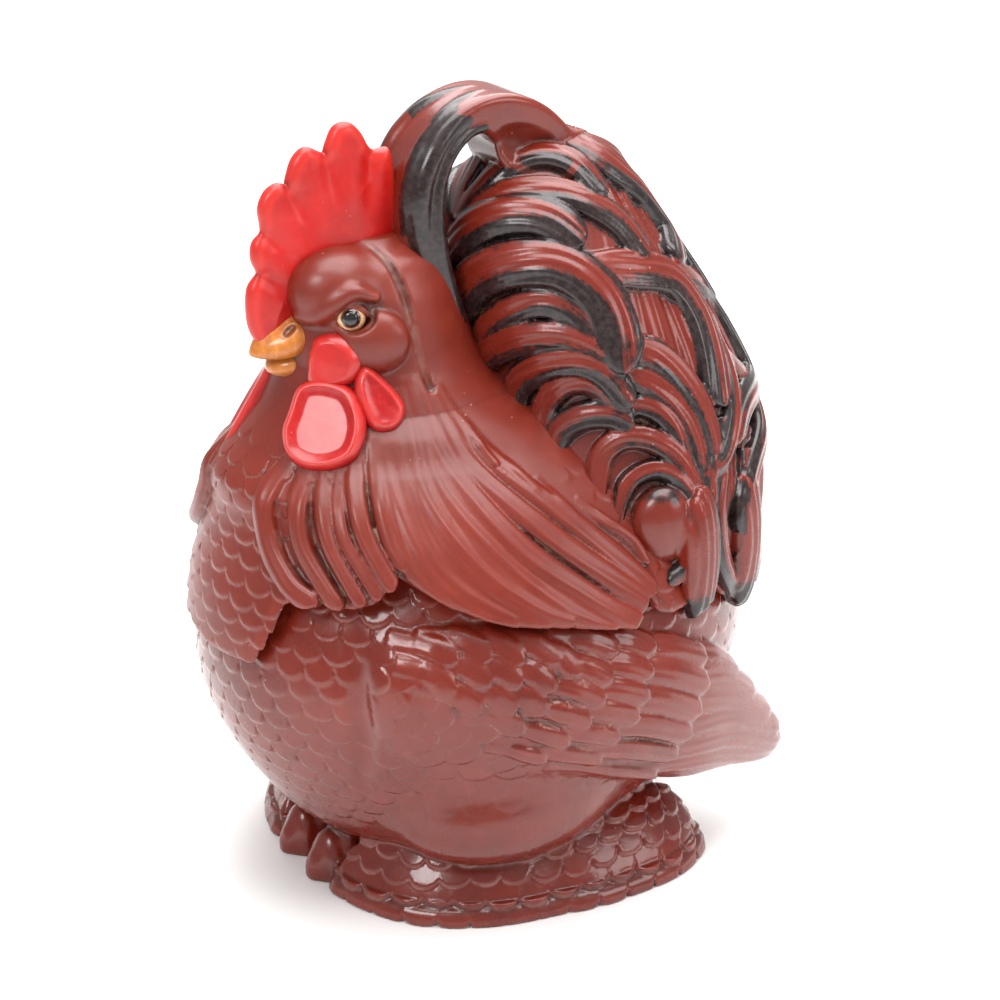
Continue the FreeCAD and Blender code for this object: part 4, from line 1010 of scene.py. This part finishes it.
BROWN = lin(112, 31, 17); BROWN_D = lin(79, 20, 12); BROWN_L = lin(138, 50, 33); BLACK = lin(15, 13, 14)
def glaze(name, base=BROWN, deep=BROWN_D, light=BROWN_L, rough=0.3, coat=0.35, coat_rough=0.12, black=False, groove=(58, 26, 20), pale=(176, 140, 125), ridge=0.35, orange=0.12):
    m = Mat(name)
    o = m.obj()
    big = m.ramp(m.noise(o, 16, 3, 0.5), 0.3, 0.7)
    mid = m.ramp(m.noise(o, 75, 4, 0.6), 0.3, 0.72)
    fine = m.noise(o, 900, 3, 0.65)
    c = m.mix(m.math('MULTIPLY', big, 0.45), base, deep)
    c = m.mix(m.math('MULTIPLY', mid, 0.22), c, light)
    st = strands(m, 0.9, 0.05, 1.0)
    c = m.mix(m.math('MULTIPLY', m.ramp(st, 0.52, 0.75), 0.30), c, light)
    c = m.mix(m.math('MULTIPLY', m.ramp(st, 0.48, 0.25), 0.30), c, deep)
    # thinner glaze breaks paler over ridges and scale edges; these paler bands are also painted highlight
    ridge_break_and_highlight = m.ramp(m.attr('cvx'), 0.10, 0.55)
    ridge_break_and_highlight = m.math('MULTIPLY', ridge_break_and_highlight, m.ramp(m.noise(o, 140, 3, 0.6), 0.30, 0.62))
    c = m.mix(m.math('MULTIPLY', ridge_break_and_highlight, ridge), c, light)
    edge_break_and_highlight = m.math('MULTIPLY', m.ramp(m.attr('edge'), 0.45, 1.0), m.ramp(m.noise(o, 110, 2, 0.5), 0.42, 0.62))
    c = m.mix(m.math('MULTIPLY', edge_break_and_highlight, 0.28), c, lin(*pale))
    # painted shade and glaze pooling darken the creases; pale dust settles in the deeper ones
    crease_shade_and_pooling = m.ramp(m.attr('cav'), 0.12, 0.62)
    c = m.mix(m.math('MULTIPLY', crease_shade_and_pooling, 0.62), c, lin(*groove))
    dust = m.math('MULTIPLY', m.ramp(m.attr('cav'), 0.45, 0.85), m.ramp(m.noise(o, 190, 2, 0.5), 0.52, 0.66))
    c = m.mix(m.math('MULTIPLY', dust, 0.45), c, lin(150, 128, 105))
    # painted shade under the brow, in the eye socket, under the strap's arch and round the scoop
    c = m.mix(m.math('MULTIPLY', m.attr('dark'), 0.6), c, lin(*groove))
    if black:
        b = m.attr('blk')
        brush = m.math('ADD', m.math('MULTIPLY', m.math('SUBTRACT', st, 0.5), 1.15), m.math('MULTIPLY', m.math('SUBTRACT', m.noise(o, 330, 3, 0.7), 0.5), 0.7))
        k = m.ramp(m.math('ADD', b, brush), 0.34, 0.62)
        k = m.math('MULTIPLY', k, m.ramp(b, 0.02, 0.12))
        edge = m.mix(m.ramp(m.noise(o, 420, 2, 0.5), 0.35, 0.7), BLACK, lin(44, 36, 36))
        c = m.mix(m.math('MULTIPLY', k, 0.96), c, edge)
    seam = m.math('MULTIPLY', m.attr('seam'), m.ramp(m.noise(o, 160, 2, 0.5), 0.30, 0.60))
    c = m.mix(m.math('MULTIPLY', seam, 0.30), c, lin(170, 140, 128))
    # small glaze pinholes and specks
    sp = m.n('ShaderNodeTexVoronoi'); sp.inputs['Scale'].default_value = 160.0; m.link(o, sp.inputs['Vector'])
    pin = m.math('MULTIPLY', m.ramp(sp.outputs['Distance'], 0.085, 0.045), m.ramp(m.noise(o, 28, 2, 0.5), 0.55, 0.68))
    c = m.mix(m.math('MULTIPLY', pin, 0.55), c, lin(190, 150, 135))
    # bare clay where the glaze was wiped off
    c = m.mix(m.attr('rim'), c, lin(214, 190, 168))
    m.link(c, m.b.inputs['Base Color'])
    m.gloss(rough, coat, coat_rough)
    r = m.math('ADD', rough, m.math('MULTIPLY', m.math('SUBTRACT', m.noise(o, 45, 3, 0.6), 0.5), 0.22))
    r = m.math('ADD', r, m.math('MULTIPLY', m.attr('rim'), 0.4))
    m.link(r, m.b.inputs['Roughness'])
    orange_peel = m.math('ADD', m.noise(o, 210, 2, 0.5), m.math('MULTIPLY', fine, 0.25))
    hair = strands(m, 1.7, 0.045, 1.0)
    h = m.math('ADD', m.math('MULTIPLY', orange_peel, 0.6), m.math('MULTIPLY', hair, 0.30))
    h = m.math('SUBTRACT', h, m.math('MULTIPLY', pin, 0.5))
    nb = m.bump(h, orange, 0.0012)
    m.link(nb, m.b.inputs['Normal'])
    nb2 = m.bump(orange_peel, orange*0.55, 0.0010)
    m.link(nb2, m.b.inputs['Coat Normal'])
    return m.m

jar_mat = glaze('jar_brown_glaze', rough=0.26, coat=0.42, coat_rough=0.07, ridge=0.30, orange=0.14)
cape_mat = glaze('cape_brown_glaze', base=lin(116, 34, 20), rough=0.38, coat=0.22, coat_rough=0.22, ridge=0.42, orange=0.10)
tail_mat = glaze('tail_brushed_glaze', base=lin(112, 31, 18), deep=lin(74, 19, 11), light=lin(142, 50, 33), rough=0.28, coat=0.36, coat_rough=0.10, black=True, ridge=0.40, orange=0.14)

def red_glaze(name, hot, deep, rim, k_rim, rough=0.3, coat=0.4, coat_rough=0.12):
    m = Mat(name); o = m.obj()
    c = m.mix(m.ramp(m.noise(o, 40, 3, 0.55), 0.3, 0.7), hot, deep)
    c = m.mix(m.math('MULTIPLY', m.ramp(m.noise(o, 260, 4, 0.6), 0.45, 0.75), 0.22), c, rim)
    brushy = m.math('ADD', m.attr('edge'), m.math('MULTIPLY', m.math('SUBTRACT', m.noise(o, 120, 3, 0.6), 0.5), 0.7))
    c = m.mix(m.math('MULTIPLY', m.ramp(brushy, 0.25, 0.95), k_rim), c, rim)
    # paler over ridges: thin glaze there, and painted highlight
    c = m.mix(m.math('MULTIPLY', m.ramp(m.attr('cvx'), 0.15, 0.6), 0.25*k_rim), c, rim)
    # painted shade darkens the creases
    c = m.mix(m.math('MULTIPLY', m.ramp(m.attr('cav'), 0.15, 0.7), 0.6), c, lin(120, 14, 14))
    sp = m.n('ShaderNodeTexVoronoi'); sp.inputs['Scale'].default_value = 330.0; m.link(o, sp.inputs['Vector'])
    pin = m.math('MULTIPLY', m.ramp(sp.outputs['Distance'], 0.12, 0.06), m.ramp(m.noise(o, 60, 2, 0.5), 0.55, 0.7))
    c = m.mix(m.math('MULTIPLY', pin, 0.4), c, lin(250, 170, 150))
    m.link(c, m.b.inputs['Base Color'])
    m.gloss(rough, coat, coat_rough)
    m.link(m.math('ADD', rough, m.math('MULTIPLY', m.math('SUBTRACT', m.noise(o, 60, 3, 0.6), 0.5), 0.25)), m.b.inputs['Roughness'])
    peel = m.noise(o, 330, 3, 0.55)
    m.link(m.bump(peel, 0.12, 0.0008), m.b.inputs['Normal'])
    return m.m

comb_mat = red_glaze('comb_red_glaze', lin(190, 14, 8), lin(166, 14, 10), lin(212, 50, 38), 0.45, rough=0.42, coat=0.25, coat_rough=0.25)
wattle_mat = red_glaze('wattle_red_glaze', lin(176, 11, 14), lin(146, 8, 12), lin(214, 66, 60), 0.50, rough=0.32, coat=0.4, coat_rough=0.12)
cheek_mat = red_glaze('cheek_red_glaze', lin(190, 26, 22), lin(164, 24, 22), lin(206, 60, 52), 0.2, rough=0.34, coat=0.4, coat_rough=0.14)

def beak_glaze():
    m = Mat('beak_ochre_glaze'); o = m.obj()
    c = m.mix(m.ramp(m.noise(o, 90, 4, 0.6), 0.3, 0.7), lin(200, 122, 46), lin(168, 90, 32))
    streak = m.noise(m.vec(m.math('MULTIPLY', m.attr('fl'), 0.10), 0.0, 0.0), 3.0, 3, 0.6)
    c = m.mix(m.math('MULTIPLY', m.ramp(streak, 0.45, 0.7), 0.35), c, lin(232, 170, 92))
    c = m.mix(m.math('MULTIPLY', m.ramp(m.noise(o, 230, 3, 0.6), 0.5, 0.75), 0.45), c, lin(146, 78, 30))
    # painted highlight along the top ridge
    c = m.mix(m.math('MULTIPLY', m.attr('edge'), 0.5), c, lin(236, 178, 104))
    # painted shade in the nostrils and the mouth line
    c = m.mix(m.math('MULTIPLY', m.attr('dark'), 0.85), c, lin(92, 44, 20))
    # painted shade darkens the creases
    c = m.mix(m.math('MULTIPLY', m.ramp(m.attr('cav'), 0.15, 0.7), 0.6), c, lin(110, 52, 22))
    m.link(c, m.b.inputs['Base Color'])
    m.gloss(0.3, 0.5, 0.1)
    m.link(m.bump(m.noise(o, 420, 3, 0.6), 0.15, 0.0006), m.b.inputs['Normal'])
    return m.m
beak_mat = beak_glaze()

def eye_glaze():
    m = Mat('eye_painted_glaze'); o = m.obj()
    a = m.attr('ft')
    wob = m.math('MULTIPLY', m.math('SUBTRACT', m.noise(o, 500, 2, 0.5), 0.5), 7.0)
    a2 = m.math('ADD', a, wob)
    c = m.mix(m.ramp(m.noise(o, 300, 3, 0.5), 0.3, 0.7), lin(232, 190, 146), lin(206, 152, 108))
    ring = m.ramp(a2, 43.0, 39.0)
    c = m.mix(ring, c, lin(92, 52, 26))
    c = m.mix(m.ramp(a2, 36.0, 33.0), c, lin(16, 13, 13))
    m.link(c, m.b.inputs['Base Color'])
    m.gloss(0.12, 1.0, 0.03)
    m.link(m.bump(m.noise(o, 300, 2, 0.5), 0.06, 0.0005), m.b.inputs['Normal'])
    return m.m
eye_mat = eye_glaze()

def bisque():
    m = Mat('bare_clay'); o = m.obj()
    c = m.mix(m.ramp(m.noise(o, 120, 4, 0.6), 0.3, 0.7), lin(222, 200, 176), lin(202, 176, 150))
    c = m.mix(m.math('MULTIPLY', m.ramp(m.noise(o, 700, 3, 0.6), 0.55, 0.75), 0.4), c, lin(160, 128, 104))
    m.link(c, m.b.inputs['Base Color'])
    m.b.inputs['Roughness'].default_value = 0.85
    m.link(m.bump(m.noise(o, 900, 3, 0.7), 0.25, 0.0006), m.b.inputs['Normal'])
    return m.m
bisque_mat = bisque()

RIDE = {
    'tail_and_handle': ('lid', 'dark_feather_glaze', tail_mat, ['tail', 'handle']),
    'cape_and_head': ('lid', 'brown_glaze', cape_mat, ['lid_cape', 'head_and_neck']),
    'jar_and_wings': ('jar', 'brown_glaze', jar_mat, ['jar_body', 'left_wing', 'right_wing', 'left_foot', 'right_foot', 'left_toe', 'right_toe']),
    'comb': ('lid', 'red_glaze', comb_mat, ['comb']),
    'upper_beak_glaze': ('lid', 'ochre_glaze', beak_mat, ['upper_beak']),
    'lower_beak_glaze': ('lid', 'ochre_glaze', beak_mat, ['lower_beak']),
}
for side in ('left', 'right'):
    RIDE[side + '_cheek_glaze'] = ('lid', 'red_glaze', cheek_mat, [side + '_cheek'])
    RIDE[side + '_earlobe_glaze'] = ('lid', 'red_glaze', wattle_mat, [side + '_earlobe'])
    RIDE[side + '_wattle_glaze'] = ('lid', 'red_glaze', wattle_mat, [side + '_wattle'])
    RIDE[side + '_eye_glaze'] = ('lid', 'eye_glaze', eye_mat, [side + '_eye'])
for nm, (body, slot, mat, nodes) in RIDE.items():
    o = pieces[nm]
    o.data.materials.append(mat)
    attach(o, body)
    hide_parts(*nodes)
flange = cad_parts['lid_flange']
flange.data.materials.clear()
flange.data.materials.append(bisque_mat)

# --------------------------------------------------------------------- stage
def plain(name, col, rough):
    m = Mat(name)
    m.b.inputs['Base Color'].default_value = col
    m.b.inputs['Roughness'].default_value = rough
    return m.m
bpy.ops.mesh.primitive_plane_add(size=12, location=(0, 0, -0.0002))
floor = bpy.context.object
floor.name = 'studio_floor'
floor.data.materials.append(plain('studio_floor_white', (0.90, 0.90, 0.895, 1), 0.6))
floor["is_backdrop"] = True

world = bpy.data.worlds.new('studio'); bpy.context.scene.world = world
world.use_nodes = True
bg = world.node_tree.nodes['Background']
bg.inputs[0].default_value = (1.0, 1.0, 0.99, 1)
bg.inputs[1].default_value = 0.52
bpy.context.scene.view_settings.view_transform = 'Standard'
bpy.context.scene.view_settings.look = 'None'

def area(name, loc, target, size, power, col=(1, 1, 1), size_y=None):
    l = bpy.data.lights.new(name, 'AREA')
    l.energy = power; l.color = col; l.size = size
    if size_y:
        l.shape = 'RECTANGLE'; l.size_y = size_y
    o = bpy.data.objects.new(name, l)
    bpy.context.scene.collection.objects.link(o)
    o.location = loc
    d = Vector(target) - Vector(loc)
    o.rotation_euler = d.to_track_quat('-Z', 'Y').to_euler()
    return o
area('key_softbox', (0.60, -1.15, 1.25), (0, 0, 0.15), 0.6, 12, size_y=0.5)
area('top_softbox', (0.1, 0.15, 1.45), (0, 0, 0.1), 1.3, 34, size_y=1.3)
area('backdrop_light', (-2.0, 1.3, 2.0), (-2.0, 1.3, 0), 2.6, 95, size_y=2.6)
area('side_softbox', (1.35, 0.9, 0.9), (0, 0, 0.15), 0.7, 7, size_y=0.7)

cam = bpy.data.cameras.new('photo_camera')
cam_o = bpy.data.objects.new('photo_camera', cam)
bpy.context.scene.collection.objects.link(cam_o)
cam_o.location = (0.8227, -0.475, 0.540)
d = Vector((0, 0, 0.165)) - cam_o.location
cam_o.rotation_euler = d.to_track_quat('-Z', 'Y').to_euler()
cam.sensor_width = 36.0
cam.lens = 36.0 * 2.4614
cam.shift_x = 0.023
cam.shift_y = -0.0372
cam.clip_start = 0.01
bpy.context.scene.camera = cam_o

size_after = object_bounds()
as_list = lambda v: [float(x) for x in v] if not isinstance(v, dict) else v
def plainify(v):
    if isinstance(v, dict):
        return {str(k): plainify(x) for k, x in v.items()}
    if isinstance(v, (int, float, str)) or v is None:
        return v
    return [plainify(x) for x in v]
{'before': plainify(size_before), 'after': plainify(size_after)}
